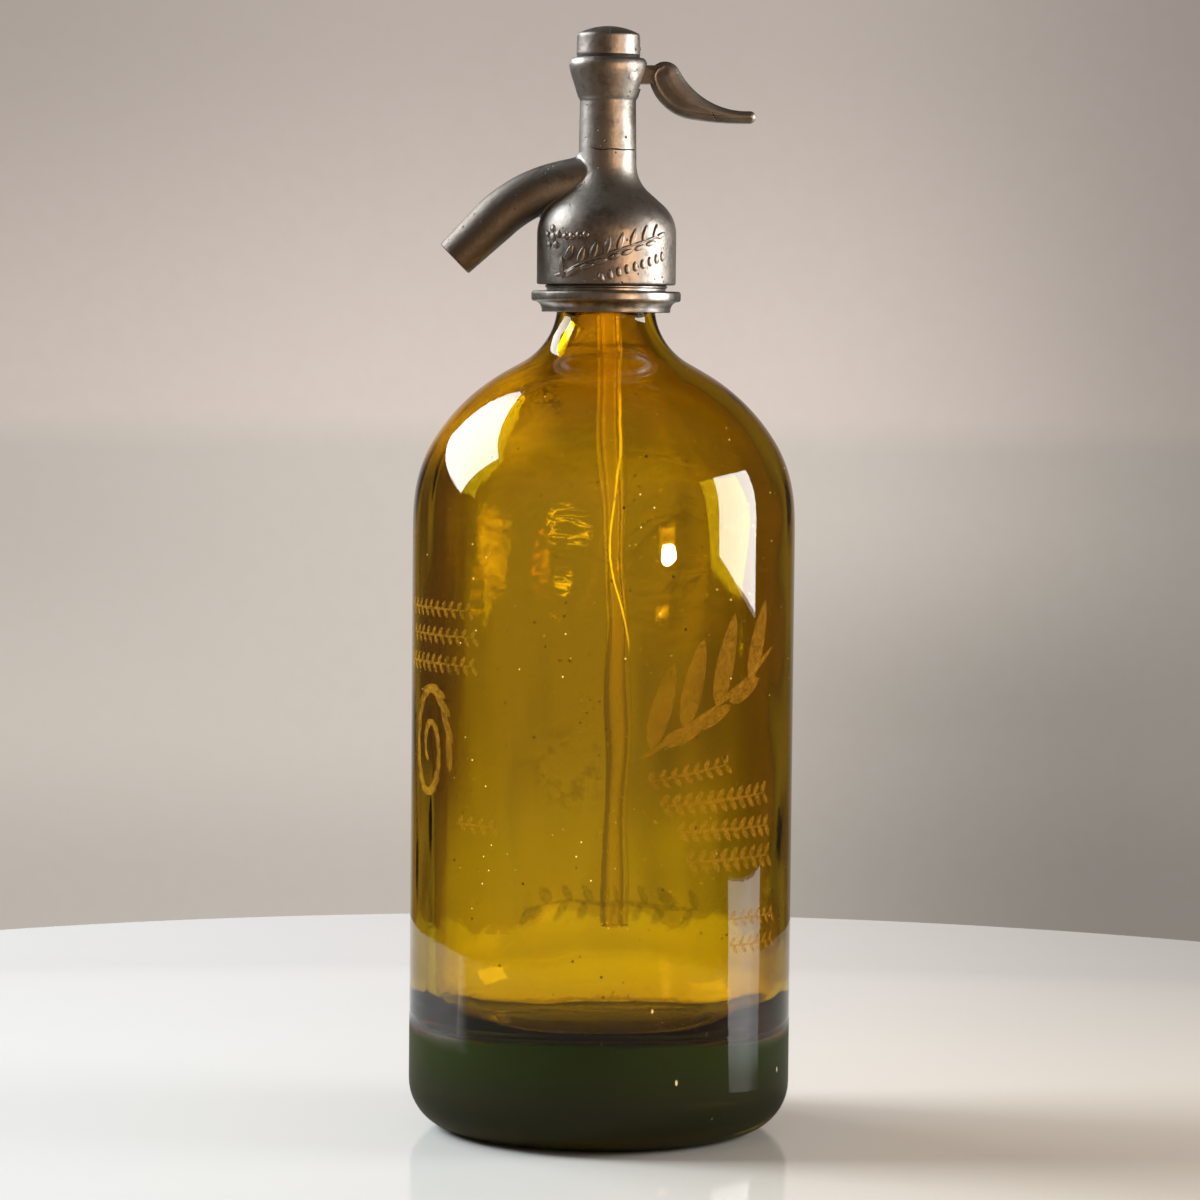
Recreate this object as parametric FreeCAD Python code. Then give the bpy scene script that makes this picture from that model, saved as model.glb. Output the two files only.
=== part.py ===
"""Soda siphon: thick glass bottle, cast head with spout, spring-closed valve and thumb lever.

Millimetres, +Z up. The origin is on the bottle's axis, in the plane that its foot stands on.
The spout points to -X and the thumb lever to +X.
"""
import FreeCAD, Part
import math
import os

from FreeCAD import Vector

# ---- glass bottle ----
body_radius = 55.1
body_height = 177.85         # top of the straight side
wall = 5.0
base_thickness = 28.0
heel_radius = 14.0
inner_heel_radius = 15.0
foot_width = 7.0             # flat ring that the bottle stands on
pushup_height = 3.0          # hollow under the base
shoulder_radius = 40.8       # first arc of the shoulder
shoulder_turn = 32.4         # degrees turned by the first arc
cone_angle = 60.7            # steepest part of the shoulder, degrees from the axis
cone_run = 5.4
neck_blend_radius = 18.9
neck_radius = 14.05
neck_straight = 2.3
neck_bore = 8.4
groove_depth = 1.75          # groove under the lip that the clamp ring grips
bead_proud = 0.4
bead_height = 5.8
lip_round = 0.8

# ---- neck collar and clamp ring ----
clamp_height = 3.0
clamp_clearance = 0.1
clamp_slit = 0.6             # gap between the two halves
collar_clearance = 0.25
ledge_width = 1.2
sleeve_wall = 1.15
thread_depth = 0.5
thread_clearance = 0.05
relief_height = 2.2          # plain waist between flange and thread
flange_radius = 21.5
flange_thickness = 3.0
flange_lift = 1.5            # flange top above the clamp ring's seat
flange_round = 0.7
cove_width = 2.4
cove_height = 3.1
cove_bottom_radius = 18.5

# ---- head casting ----
gasket_thickness = 2.0
bell_wall = 2.3
bell_gap = 1.8               # open gap between bell and flange
sleeve_gap = 1.0
bell_side = 6.9              # straight side of the bell above the gasket face
bell_round = 11.5
flare_angle = 48.5
flare_blend = 10.7
head_neck_radius = 8.35
head_neck_top_radius = 8.03
head_neck_length = 18.2
crown_height = 12.0
crown_step = 0.7
crown_foot_radius = 8.6
crown_radius = 11.2
crown_top_radius = 10.0
crown_brow = 2.3             # widest ring below the crown's top
chamber_radius = 4.3
gland_radius = 5.2
cavity_radius = 6.4

# ---- spout ----
spout_rise = 24.5            # spout axis meets the head axis this far above the gasket face
spout_root_radius = 6.65
spout_tip_radius = 5.85
spout_bore = 4.0
spout_root_angle = 14.0      # degrees below level at the head
spout_tip_angle = 44.3       # degrees below level at the outlet
spout_root_run = 14.0
spout_bend_radius = 41.1
spout_straight = 15.9
spigot_radius = 5.4
spigot_start = 6.0           # from the head axis
solder_gap = 0.03

# ---- cap ----
cap_gasket_thickness = 0.7
cap_radius = 9.15
cap_taper = 0.12
cap_side = 5.4
cap_round = 1.1
cap_dome = 1.9
cap_roof = 2.8
cap_thread_radius = 7.3
cap_thread_length = 2.9
cap_bore = 4.6

# ---- thumb lever ----
lever_arm = 7.2              # pin to valve axis
pin_drop = 5.5               # pin below the crown's top
pin_radius = 1.25
pin_clearance = 0.05
hub_radius = 2.2
tongue_width = 6.2
tongue_clearance = 0.3
tongue_start = 2.2           # the deep part of the tongue begins this far out from the pin
tongue_rise = 3.4            # its top above the pin
tongue_fall = 1.8            # its bottom below the pin
slot_clearance = 1.1         # under the hub, for the swing
slot_headroom = 0.4          # over the tongue
toe_radius = 1.6             # rounded end of the fork
toe_drop = 0.6
arm_relief = 1.2             # the fork arms run this far below the toe's top
lever_reach = 35.2           # pin to thumb tip
lever_thickness = 8.0        # over the two raised cheeks
cheek_inset = 1.1            # step between the outline and the cheeks
cheek_proud = 1.1
cheek_round = 0.5
lobe_radius = 4.55           # rounded heel of the thumb piece
lobe_offset = 9.05           # its centre, out from the pin
tip_radius = 1.73
tip_drop = 11.1              # tip's centre below the pin
keel_radius = 92.4           # nearly straight underside
keel_setback = 2.3           # lowest point, back from the tip
belly_radius = 14.7
hollow_radius = 22.0         # thumb hollow on top
lever_round = 0.8

# ---- valve ----
nut_thread_depth = 6.0
passage_radius = 2.6
passage_length = 2.0
seat_height = 5.0
seat_bore = 2.3
seat_lip = 0.9
seat_step = 0.8
valve_gap = 0.05
washer_radius = 3.4
washer_thickness = 2.0
foot_radius = 3.6
foot_thickness = 1.9
stem_radius = 1.6
stem_clearance = 0.08
stem_tail = 6.7              # stem above the lift collar
screw_shank = 0.9
screw_head_radius = 1.7
screw_head = 0.9
lift_gap = 0.3
lift_radius = 4.0
lift_height = 1.6
packing_washer_height = 1.0
packing_height = 5.0
gland_height = 7.0
gland_slot = 1.6
wire_radius = 0.35
spring_radius = 2.9
spring_turns = 3.5

# ---- dip tube ----
tube_radius = 3.75
tube_bore = 2.1
tube_bottom = 58.5
sleeve_thickness = 1.25
sleeve_length = 10.0
nut_radius = 6.6
nut_flats = 13.2             # across the flats of the hexagon
nut_hex_height = 5.0
nut_lip = 2.0

# ---- heights and radii that follow ----
steep = math.radians(cone_angle)
first = math.radians(shoulder_turn)
flare = math.radians(flare_angle)
blend_reach = neck_blend_radius * (1 - math.cos(steep))
shoulder_left = body_radius - neck_radius - blend_reach - cone_run * math.sin(steep)
shoulder_left -= shoulder_radius * (1 - math.cos(first))
upper_shoulder_radius = shoulder_left / (math.cos(first) - math.cos(steep))

neck_z = body_height + shoulder_radius * math.sin(first) + cone_run * math.cos(steep)
neck_z += upper_shoulder_radius * (math.sin(steep) - math.sin(first))
neck_z += neck_blend_radius * math.sin(steep)
clamp_z = neck_z + neck_straight + clamp_clearance
bead_z = clamp_z + clamp_height
lip_z = bead_z + bead_height
face_z = lip_z + gasket_thickness

groove_radius = neck_radius - groove_depth
bead_radius = neck_radius + bead_proud
collar_hole = bead_radius + collar_clearance
clamp_radius = collar_hole + ledge_width
sleeve_inner = clamp_radius + thread_clearance
relief_radius = sleeve_inner + sleeve_wall
thread_radius = relief_radius + thread_depth
bell_bore = thread_radius + thread_clearance
bell_radius = bell_bore + bell_wall
flange_top = clamp_z + flange_lift
flange_bottom = flange_top - flange_thickness
collar_bottom = flange_bottom - cove_height
bell_bottom = flange_top + bell_gap

flare_run = bell_radius - bell_round * (1 - math.cos(flare))
flare_run -= head_neck_radius + flare_blend * (1 - math.cos(flare))
flare_run /= math.sin(flare)
head_neck_z = face_z + bell_side + (bell_round + flare_blend) * math.sin(flare)
head_neck_z += flare_run * math.cos(flare)
crown_z = head_neck_z + head_neck_length
crown_top = crown_z + crown_height
cap_z = crown_top + cap_gasket_thickness
cap_top = cap_z + cap_side + cap_round + cap_dome
cap_ceiling = cap_top - cap_roof

pivot_z = crown_top - pin_drop
slot_floor = pivot_z - hub_radius - slot_clearance
slot_roof = pivot_z + tongue_rise + slot_headroom
toe_top = pivot_z - toe_drop + toe_radius
lift_z = toe_top + lift_gap
lift_top = lift_z + lift_height

seat_z = face_z + nut_thread_depth + passage_length
seat_top = seat_z + seat_height
washer_z = seat_top + valve_gap
foot_z = washer_z + washer_thickness
spout_z = face_z + spout_rise
shoulder_z = spout_z + spout_bore
packing_z = shoulder_z + packing_washer_height
gland_z = packing_z + packing_height

tube_top = face_z + nut_thread_depth - nut_lip
sleeve_radius = tube_radius + sleeve_thickness


class Outline:
    """A half section in the XZ plane, drawn as lines and arcs and turned about Z."""

    def __init__(self, radius, height):
        self.at = Vector(radius, 0, height)
        self.start = self.at
        self.edges = []

    def line(self, radius, height):
        end = Vector(radius, 0, height)
        self.edges.append(Part.makeLine(self.at, end))
        self.at = end
        return self

    def arc(self, middle, end):
        through = Vector(middle[0], 0, middle[1])
        end = Vector(end[0], 0, end[1])
        self.edges.append(Part.Arc(self.at, through, end).toShape())
        self.at = end
        return self

    def bend(self, radius, angle_in, angle_out):
        """Tangent arc; the angles lean inwards from straight up, in radians."""
        side = math.copysign(radius, angle_out - angle_in)

        def on_arc(angle):
            inward = side * (math.cos(angle_in) - math.cos(angle))
            upward = side * (math.sin(angle) - math.sin(angle_in))
            return self.at.x - inward, self.at.z + upward

        return self.arc(on_arc((angle_in + angle_out) / 2), on_arc(angle_out))

    def sphere(self, end, pole):
        """Arc of a sphere centred on the axis; its pole and its rim are the arc's two ends."""
        rim = end if end[0] else (self.at.x, self.at.z)
        rise = pole - rim[1]
        radius = (rim[0] ** 2 + rise ** 2) / (2 * rise)
        half = math.asin(rim[0] / radius) / 2
        return self.arc((radius * math.sin(half), pole - radius * (1 - math.cos(half))), end)

    def lean(self, length, angle):
        return self.line(self.at.x - length * math.sin(angle), self.at.z + length * math.cos(angle))

    def face(self):
        closing = [] if self.at.isEqual(self.start, 1e-6) else [Part.makeLine(self.at, self.start)]
        return Part.Face(Part.Wire(self.edges + closing))

    def turned(self):
        return self.face().revolve(Vector(0, 0, 0), Vector(0, 0, 1), 360)


def disc(radius, bottom, top):
    return Part.makeCylinder(radius, top - bottom, Vector(0, 0, bottom))


def ring(outer, inner, bottom, top):
    return disc(outer, bottom, top).cut(disc(inner, bottom - 1, top + 1))


def box(x, y, z):
    low = Vector(x[0], y[0], z[0])
    return Part.makeBox(x[1] - x[0], y[1] - y[0], z[1] - z[0], low)


def glass_shoulder(outline, offset, bore, blend):
    """Shoulder from the straight side up to the neck, the wall's thickness inside the skin."""
    outline.line(body_radius - offset, body_height)
    outline.bend(shoulder_radius - offset, 0, first)
    outline.bend(upper_shoulder_radius - offset, first, steep)
    outline.lean(cone_run, steep)
    outline.bend(blend, steep, 0)
    return outline.line(bore, lip_z if offset else neck_z + neck_straight)


def bottle():
    foot_outer = body_radius - heel_radius
    foot_inner = foot_outer - foot_width
    outside = Outline(0, pushup_height).sphere((foot_inner, 0), pushup_height)
    outside.line(foot_outer, 0).bend(heel_radius, -math.pi / 2, 0)
    glass_shoulder(outside, 0, neck_radius, neck_blend_radius)
    outside.line(groove_radius, outside.at.z).line(groove_radius, bead_z)
    outside.line(bead_radius - lip_round, bead_z).bend(lip_round, -math.pi / 2, 0)
    outside.line(bead_radius, lip_z - lip_round).bend(lip_round, 0, math.pi / 2)
    outside.line(0, lip_z)

    inner_blend = neck_radius + blend_reach - wall * math.cos(steep) - neck_bore
    inner_blend /= 1 - math.cos(steep)
    inside = Outline(0, base_thickness)
    inside.line(body_radius - wall - inner_heel_radius, base_thickness)
    inside.bend(inner_heel_radius, -math.pi / 2, 0)
    glass_shoulder(inside, wall, neck_bore, inner_blend)
    inside.line(0, lip_z)
    return outside.turned().cut(inside.turned())


def neck_collar():
    skin = Outline(collar_hole, collar_bottom).line(cove_bottom_radius, collar_bottom)
    cove_top = flange_radius - flange_round
    cove_middle = (cove_bottom_radius + 0.3 * cove_width, flange_bottom - 0.35 * cove_height)
    skin.arc(cove_middle, (cove_top, flange_bottom))
    skin.bend(flange_round, -math.pi / 2, 0)
    skin.line(flange_radius, flange_top - flange_round).bend(flange_round, 0, math.pi / 2)
    skin.line(relief_radius, flange_top).line(relief_radius, flange_top + relief_height)
    skin.line(thread_radius, flange_top + relief_height + thread_depth)
    skin.line(thread_radius, face_z - sleeve_gap - thread_depth)
    skin.line(relief_radius, face_z - sleeve_gap)
    skin.line(sleeve_inner, face_z - sleeve_gap).line(sleeve_inner, clamp_z)
    skin.line(collar_hole, clamp_z)
    return skin.turned()


def clamp_half(side):
    whole = ring(clamp_radius, groove_radius + clamp_clearance, clamp_z, bead_z)
    reach = 2 * clamp_radius
    span = sorted((side * clamp_slit / 2, side * reach))
    return whole.common(box((-reach, reach), span, (clamp_z - 1, bead_z + 1)))


def head_skin():
    skin = Outline(0, bell_bottom).line(bell_radius, bell_bottom)
    skin.line(bell_radius, face_z + bell_side).bend(bell_round, 0, flare)
    skin.lean(flare_run, flare).bend(flare_blend, flare, 0)
    skin.line(head_neck_top_radius, crown_z)
    skin.line(crown_foot_radius, crown_z + crown_step)
    brow_z = crown_top - crown_brow
    middle_z = (crown_z + crown_step + brow_z) / 2
    middle = (crown_foot_radius + crown_radius) / 2 + 0.35
    skin.arc((middle, middle_z), (crown_radius, brow_z))
    corner = (crown_radius + crown_top_radius) / 2
    skin.arc((corner + 0.35, crown_top - crown_brow * 0.3), (crown_top_radius, crown_top))
    return skin.line(0, crown_top).turned()


def spout_direction(angle):
    return Vector(-math.cos(angle), 0, -math.sin(angle))


def spout_limb(root, tip, start, run):
    """The bent limb: straight root, one bend, then a straight end that may taper."""
    angle_in = math.radians(spout_root_angle)
    angle_out = math.radians(spout_tip_angle)
    origin = Vector(0, 0, spout_z)
    along = spout_direction(angle_in)
    outward = spout_direction(angle_out)
    bend_start = origin + along * spout_root_run
    limb = Part.makeCylinder(root, spout_root_run - start, origin + along * start, along)
    below = Vector(math.sin(angle_in), 0, -math.cos(angle_in))
    centre = bend_start + below * spout_bend_radius
    section = Part.Face(Part.Wire(Part.makeCircle(root, bend_start, along)))
    bend = section.revolve(centre, Vector(0, -1, 0), spout_tip_angle - spout_root_angle)
    above = Vector(-math.sin(angle_out), 0, math.cos(angle_out))
    bend_end = centre + above * spout_bend_radius
    if root == tip:
        end = Part.makeCylinder(root, run, bend_end, outward)
    else:
        end = Part.makeCone(root, tip, run, bend_end, outward)
    return limb.fuse([bend, end])


def spout():
    angle_in = math.radians(spout_root_angle)
    along = spout_direction(angle_in)
    limb = spout_limb(spout_root_radius, spout_tip_radius, spigot_start, spout_straight)
    limb = limb.cut(head_skin())
    spigot_length = spout_root_run - spigot_start
    origin = Vector(0, 0, spout_z) + along * spigot_start
    limb = limb.fuse(Part.makeCylinder(spigot_radius, spigot_length, origin, along))
    return limb.cut(spout_limb(spout_bore, spout_bore, 0, spout_straight + 1)).removeSplitter()


def head_casting():
    head = head_skin()
    head = head.cut(disc(bell_bore, bell_bottom - 1, face_z))
    head = head.cut(disc(nut_radius, face_z - 1, face_z + nut_thread_depth))
    head = head.cut(disc(passage_radius, face_z, seat_z + 1))
    head = head.cut(disc(chamber_radius, seat_z, shoulder_z + 1))
    head = head.cut(disc(gland_radius, shoulder_z, slot_floor + 1))
    thread_floor = crown_top - cap_thread_length
    head = head.cut(disc(cavity_radius, slot_floor, thread_floor + 1))
    head = head.cut(disc(cap_thread_radius + thread_clearance, thread_floor, crown_top + 1))
    along = spout_direction(math.radians(spout_root_angle))
    origin = Vector(0, 0, spout_z)
    reach = spout_root_run + spout_root_radius
    head = head.cut(Part.makeCylinder(spout_bore, reach, origin, along))
    socket_start = origin + along * (spigot_start - solder_gap)
    head = head.cut(Part.makeCylinder(spigot_radius + solder_gap, reach, socket_start, along))
    half = tongue_width / 2 + tongue_clearance
    head = head.cut(box((0, 2 * crown_radius), (-half, half), (slot_floor, slot_roof)))
    return head.cut(pin(pin_radius, crown_radius))


def pin(radius, half_length):
    return Part.makeCylinder(radius, 2 * half_length, Vector(lever_arm, -half_length, pivot_z),
                             Vector(0, 1, 0))


def lever_pin():
    return pin(pin_radius, crown_radius).common(head_skin())


def cap():
    rim = cap_z + cap_side
    skin = Outline(0, cap_ceiling).line(cap_bore, cap_ceiling)
    skin.line(cap_bore, crown_top - cap_thread_length)
    skin.line(cap_thread_radius, crown_top - cap_thread_length)
    skin.line(cap_thread_radius, cap_z).line(cap_radius, cap_z)
    skin.line(cap_radius - cap_taper, rim)
    corner = (cap_radius - cap_taper - cap_round, rim + cap_round)
    skin.arc((corner[0] + cap_round * math.sin(math.pi / 4), rim + cap_round * math.sin(math.pi / 4)),
             corner)
    skin.sphere((0, cap_top), cap_top)
    return skin.turned()


def meeting(first_centre, first_reach, second_centre, second_reach, side):
    """Point at the given reaches from two centres, on one side of the line between them."""
    between = second_centre - first_centre
    along = (first_reach ** 2 - second_reach ** 2 + between.Length ** 2) / (2 * between.Length)
    across = math.sqrt(first_reach ** 2 - along ** 2)
    unit = between / between.Length
    return first_centre + unit * along + Vector(-unit.z, 0, unit.x) * side * across


def lever_blade(inset, thickness, rounding):
    """Comma-shaped plate: a lobe and a tip joined by arcs tangent to both, all inset alike."""
    pin_at = Vector(lever_arm, 0, pivot_z)
    lobe = pin_at + Vector(lobe_offset, 0, 0)
    tip = pin_at + Vector(lever_reach - tip_radius, 0, -tip_drop)
    keel_rise = math.sqrt((keel_radius - tip_radius) ** 2 - keel_setback ** 2)
    keel = tip + Vector(-keel_setback, 0, keel_rise)
    belly = meeting(lobe, belly_radius - lobe_radius, keel, keel_radius - belly_radius, -1)
    hollow = meeting(lobe, hollow_radius + lobe_radius, tip, hollow_radius + tip_radius, 1)

    def touch(centre, radius, other):
        return centre + (other - centre).normalize() * radius

    stops = [touch(belly, belly_radius - inset, lobe), touch(keel, keel_radius - inset, belly),
             touch(keel, keel_radius - inset, tip), touch(tip, tip_radius - inset, hollow),
             touch(lobe, lobe_radius - inset, hollow)]
    centres = [belly, keel, tip, hollow, lobe]
    turns = [1, 1, 1, -1, 1]
    edges = []
    for index, (centre, turn) in enumerate(zip(centres, turns)):
        start = stops[index]
        end = stops[(index + 1) % len(stops)]
        angle = math.atan2(start.z - centre.z, start.x - centre.x)
        swing = (math.atan2(end.z - centre.z, end.x - centre.x) - angle) * turn % (2 * math.pi)
        half = angle + turn * swing / 2
        through = centre + Vector(math.cos(half), 0, math.sin(half)) * (start - centre).Length
        edges.append(Part.Arc(start, through, end).toShape())
    blade = Part.Face(Part.Wire(edges)).extrude(Vector(0, thickness, 0))
    blade.translate(Vector(0, -thickness / 2, 0))
    rims = [edge for edge in blade.Edges if edge.BoundBox.YLength < rounding / 10]
    return blade.makeFillet(rounding, rims)


def lever():
    half = tongue_width / 2
    flat = Vector(0, tongue_width, 0)
    toe = Part.makeCylinder(toe_radius, tongue_width, Vector(0, -half, pivot_z - toe_drop),
                            Vector(0, 1, 0))
    hub = Part.makeCylinder(hub_radius, tongue_width, Vector(lever_arm, -half, pivot_z),
                            Vector(0, 1, 0))
    arm_top = toe_top - arm_relief
    arm_bottom = pivot_z - toe_drop - toe_radius
    arm = box((0, lever_arm), (-half, half), (arm_bottom, arm_top))
    neck = box((lever_arm, lever_arm + lobe_offset), (-half, half),
               (pivot_z - tongue_fall, pivot_z + tongue_fall))
    tongue = box((lever_arm + tongue_start, lever_arm + lobe_offset), (-half, half),
                 (pivot_z - tongue_fall, pivot_z + tongue_rise))
    web = lever_blade(0, lever_thickness - 2 * cheek_proud, lever_round)
    cheeks = lever_blade(cheek_inset, lever_thickness, cheek_round)
    piece = toe.fuse([hub, arm, neck, tongue, web, cheeks])
    notch = stem_radius + 2 * tongue_clearance
    piece = piece.cut(box((-2 * toe_radius, 2 * toe_radius + tongue_clearance), (-notch, notch),
                          (arm_bottom - 1, toe_top + 1)))
    return piece.cut(pin(pin_radius + pin_clearance, tongue_width)).removeSplitter()


def valve_seat():
    skin = Outline(seat_bore, seat_z).line(chamber_radius, seat_z)
    skin.line(chamber_radius, seat_top - seat_step)
    skin.line(seat_bore + seat_lip + seat_step / 2, seat_top - seat_step)
    skin.line(seat_bore + seat_lip, seat_top).line(seat_bore, seat_top)
    return skin.turned()


def valve_stem():
    skin = Outline(0, foot_z).line(foot_radius, foot_z).line(foot_radius, foot_z + foot_thickness)
    skin.line(stem_radius, foot_z + foot_thickness + stem_radius / 2)
    top = lift_top + stem_tail
    skin.line(stem_radius, top - stem_radius / 2).line(stem_radius / 2, top).line(0, top)
    return skin.turned().cut(disc(screw_shank, foot_z - 1, foot_z + foot_thickness))


def washer_screw():
    shank = disc(screw_shank, washer_z, foot_z + foot_thickness)
    return shank.fuse(disc(screw_head_radius, washer_z - screw_head, washer_z))


def gland_nut():
    nut = ring(gland_radius, stem_radius + stem_clearance, gland_z, gland_z + gland_height)
    half = gland_slot / 2
    top = gland_z + gland_height
    return nut.cut(box((-gland_radius, gland_radius), (-half, half), (top - gland_slot, top + 1)))


def valve_spring():
    bottom = lift_top + wire_radius
    height = cap_ceiling - lift_top - 2 * wire_radius
    helix = Part.makeHelix(height / spring_turns, height, spring_radius)
    helix.translate(Vector(0, 0, bottom))
    start = Vector(spring_radius, 0, bottom)
    slope = Vector(0, 2 * math.pi * spring_radius, height / spring_turns)
    section = Part.Wire(Part.makeCircle(wire_radius, start, slope))
    coil = Part.Wire(helix).makePipeShell([section], True, True)
    return coil


def tube_nut():
    corner = nut_flats / math.sqrt(3)
    bottom = face_z - nut_hex_height
    corners = [Vector(corner * math.cos(turn * math.pi / 3), corner * math.sin(turn * math.pi / 3),
                      bottom) for turn in range(7)]
    hexagon = Part.Face(Part.makePolygon(corners)).extrude(Vector(0, 0, nut_hex_height))
    nut = hexagon.fuse(disc(nut_radius, bottom, face_z + nut_thread_depth))
    nut = nut.cut(disc(sleeve_radius, bottom - 1, tube_top))
    return nut.cut(disc(tube_bore, bottom, face_z + nut_thread_depth + 1)).removeSplitter()


def build():
    stem_hole = stem_radius + stem_clearance
    return {
        "bottle": bottle(),
        "neck_collar": neck_collar(),
        "clamp_half_front": clamp_half(-1),
        "clamp_half_back": clamp_half(1),
        "head_gasket": ring(bead_radius, neck_bore, lip_z, face_z),
        "head_casting": head_casting(),
        "spout": spout(),
        "cap_gasket": ring(cap_radius - cap_taper, cap_thread_radius, crown_top, cap_z),
        "cap": cap(),
        "lever": lever(),
        "lever_pin": lever_pin(),
        "valve_seat": valve_seat(),
        "valve_washer": ring(washer_radius, screw_shank, washer_z, foot_z),
        "washer_screw": washer_screw(),
        "valve_stem": valve_stem(),
        "packing_washer": ring(gland_radius, stem_hole, shoulder_z, packing_z),
        "stem_packing": ring(gland_radius, stem_hole, packing_z, gland_z),
        "gland_nut": gland_nut(),
        "lift_collar": ring(lift_radius, stem_radius, lift_z, lift_top),
        "valve_spring": valve_spring(),
        "tube_nut": tube_nut(),
        "tube_sleeve": ring(sleeve_radius, tube_radius, tube_top - sleeve_length, tube_top),
        "dip_tube": ring(tube_radius, tube_bore, tube_bottom, tube_top),
    }


os.makedirs("parts", exist_ok=True)
for name, shape in build().items():
    shape.exportStep("parts/" + name + ".step")
    bounds = shape.BoundBox
    print(name, shape.isValid(), len(shape.Solids), round(shape.Volume, 1),
          [round(v, 2) for v in (bounds.XMin, bounds.XMax, bounds.YMin, bounds.YMax,
                                 bounds.ZMin, bounds.ZMax)])
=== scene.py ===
import math

import bpy
from mathutils import Matrix, Quaternion, Vector, kdtree, noise


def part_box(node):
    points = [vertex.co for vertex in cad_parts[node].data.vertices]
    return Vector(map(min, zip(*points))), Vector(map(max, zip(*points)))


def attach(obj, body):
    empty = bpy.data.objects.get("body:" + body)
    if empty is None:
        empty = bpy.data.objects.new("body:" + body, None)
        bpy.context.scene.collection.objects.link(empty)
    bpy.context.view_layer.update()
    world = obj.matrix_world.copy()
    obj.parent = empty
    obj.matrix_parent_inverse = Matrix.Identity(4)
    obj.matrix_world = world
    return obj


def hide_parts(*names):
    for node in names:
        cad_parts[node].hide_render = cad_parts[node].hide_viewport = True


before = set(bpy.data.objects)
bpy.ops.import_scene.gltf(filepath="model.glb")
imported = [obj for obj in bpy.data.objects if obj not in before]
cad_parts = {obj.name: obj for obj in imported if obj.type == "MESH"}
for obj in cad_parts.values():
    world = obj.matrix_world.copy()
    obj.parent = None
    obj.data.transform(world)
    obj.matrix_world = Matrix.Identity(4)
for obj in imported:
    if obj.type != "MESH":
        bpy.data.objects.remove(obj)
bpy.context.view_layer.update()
print("frame loaded,", len(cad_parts), "nodes")


class Wire:
    # one output socket, with plain maths on it
    def __init__(self, finish, socket):
        self.finish = finish
        self.socket = socket

    def maths(self, operation, *values):
        sockets = dict(enumerate(values))
        return self.finish.node("ShaderNodeMath", {"operation": operation}, sockets)

    def __add__(self, other):
        return self.maths("ADD", self, other)

    def __radd__(self, other):
        return self.maths("ADD", other, self)

    def __sub__(self, other):
        return self.maths("SUBTRACT", self, other)

    def __rsub__(self, other):
        return self.maths("SUBTRACT", other, self)

    def __mul__(self, other):
        return self.maths("MULTIPLY", self, other)

    def __rmul__(self, other):
        return self.maths("MULTIPLY", other, self)

    def __abs__(self):
        return self.maths("ABSOLUTE", self)


class Finish:
    # the node tree of a material or of the world, and the calls that fill it
    def __init__(self, owner):
        owner.use_nodes = True
        self.owner = owner
        self.tree = owner.node_tree
        self.tree.nodes.clear()

    def node(self, kind, settings=None, sockets=None, output=0):
        made = self.tree.nodes.new(kind)
        for key, value in (settings or {}).items():
            if key == "stops":
                ramp = made.color_ramp
                while len(ramp.elements) < len(value):
                    ramp.elements.new(0.5)
                for element, (position, color) in zip(ramp.elements, value):
                    element.position = position
                    element.color = (*color, 1)
            else:
                setattr(made, key, value)
        for key, value in (sockets or {}).items():
            if isinstance(value, Wire):
                self.tree.links.new(value.socket, made.inputs[key])
            else:
                made.inputs[key].default_value = value
        return Wire(self, made.outputs[output]) if made.outputs else None

    def place(self, scale=(1, 1, 1), turn=(0, 0, 0), shift=(0, 0, 0)):
        spot = self.node("ShaderNodeTexCoord", output="Object")
        sockets = {"Vector": spot, "Scale": scale, "Rotation": turn, "Location": shift}
        return self.node("ShaderNodeMapping", sockets=sockets)

    def axes(self, output="Object"):
        spot = self.node("ShaderNodeTexCoord", output=output)
        return [self.node("ShaderNodeSeparateXYZ", sockets={0: spot}, output=index)
                for index in range(3)]

    def grain(self, scale, detail=3.0, rough=0.55, stretch=(1, 1, 1), warp=0.0):
        sockets = {"Vector": self.place(stretch), "Scale": scale, "Detail": detail,
                   "Roughness": rough, "Distortion": warp}
        return self.node("ShaderNodeTexNoise", sockets=sockets)

    def spots(self, scale, stretch=(1, 1, 1), output="Distance"):
        sockets = {"Vector": self.place(stretch), "Scale": scale}
        return self.node("ShaderNodeTexVoronoi", sockets=sockets, output=output)

    def rise(self, value, low, high, bottom=0.0, top=1.0):
        return self.node("ShaderNodeMapRange", {"interpolation_type": "SMOOTHSTEP"},
                         {"Value": value, "From Min": low, "From Max": high, "To Min": bottom,
                          "To Max": top})

    def patch(self, across, up, middle, outside, inside, narrow=1.0):
        # full within the inside distance of a point, nothing beyond the outside one
        across, up = across - middle[0], up - middle[1]
        return self.rise(across * across * narrow + up * up, outside ** 2, inside ** 2)

    def blend(self, factor, first, second):
        pair = {0: factor, 6: first, 7: second}
        pair = {key: (*value, 1) if isinstance(value, tuple) else value for key, value in pair.items()}
        return self.node("ShaderNodeMix", {"data_type": "RGBA"}, pair, output=2)

    def bump(self, height, distance, strength=1.0, below=None):
        sockets = {"Height": height, "Distance": distance, "Strength": strength}
        if below:
            sockets["Normal"] = below
        return self.node("ShaderNodeBump", sockets=sockets)

    def finished(self, sockets, volume=None, cover=None):
        shader = self.node("ShaderNodeBsdfPrincipled", sockets=sockets)
        if cover:
            share, over = cover
            second = self.node("ShaderNodeBsdfPrincipled", sockets=over)
            shader = self.node("ShaderNodeMixShader", sockets={0: share, 1: shader, 2: second})
        ends = {"Surface": shader, "Volume": volume} if volume else {"Surface": shader}
        self.node("ShaderNodeOutputMaterial", sockets=ends)
        return self.owner


def newFinish(name):
    return Finish(bpy.data.materials.new(name))


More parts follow.
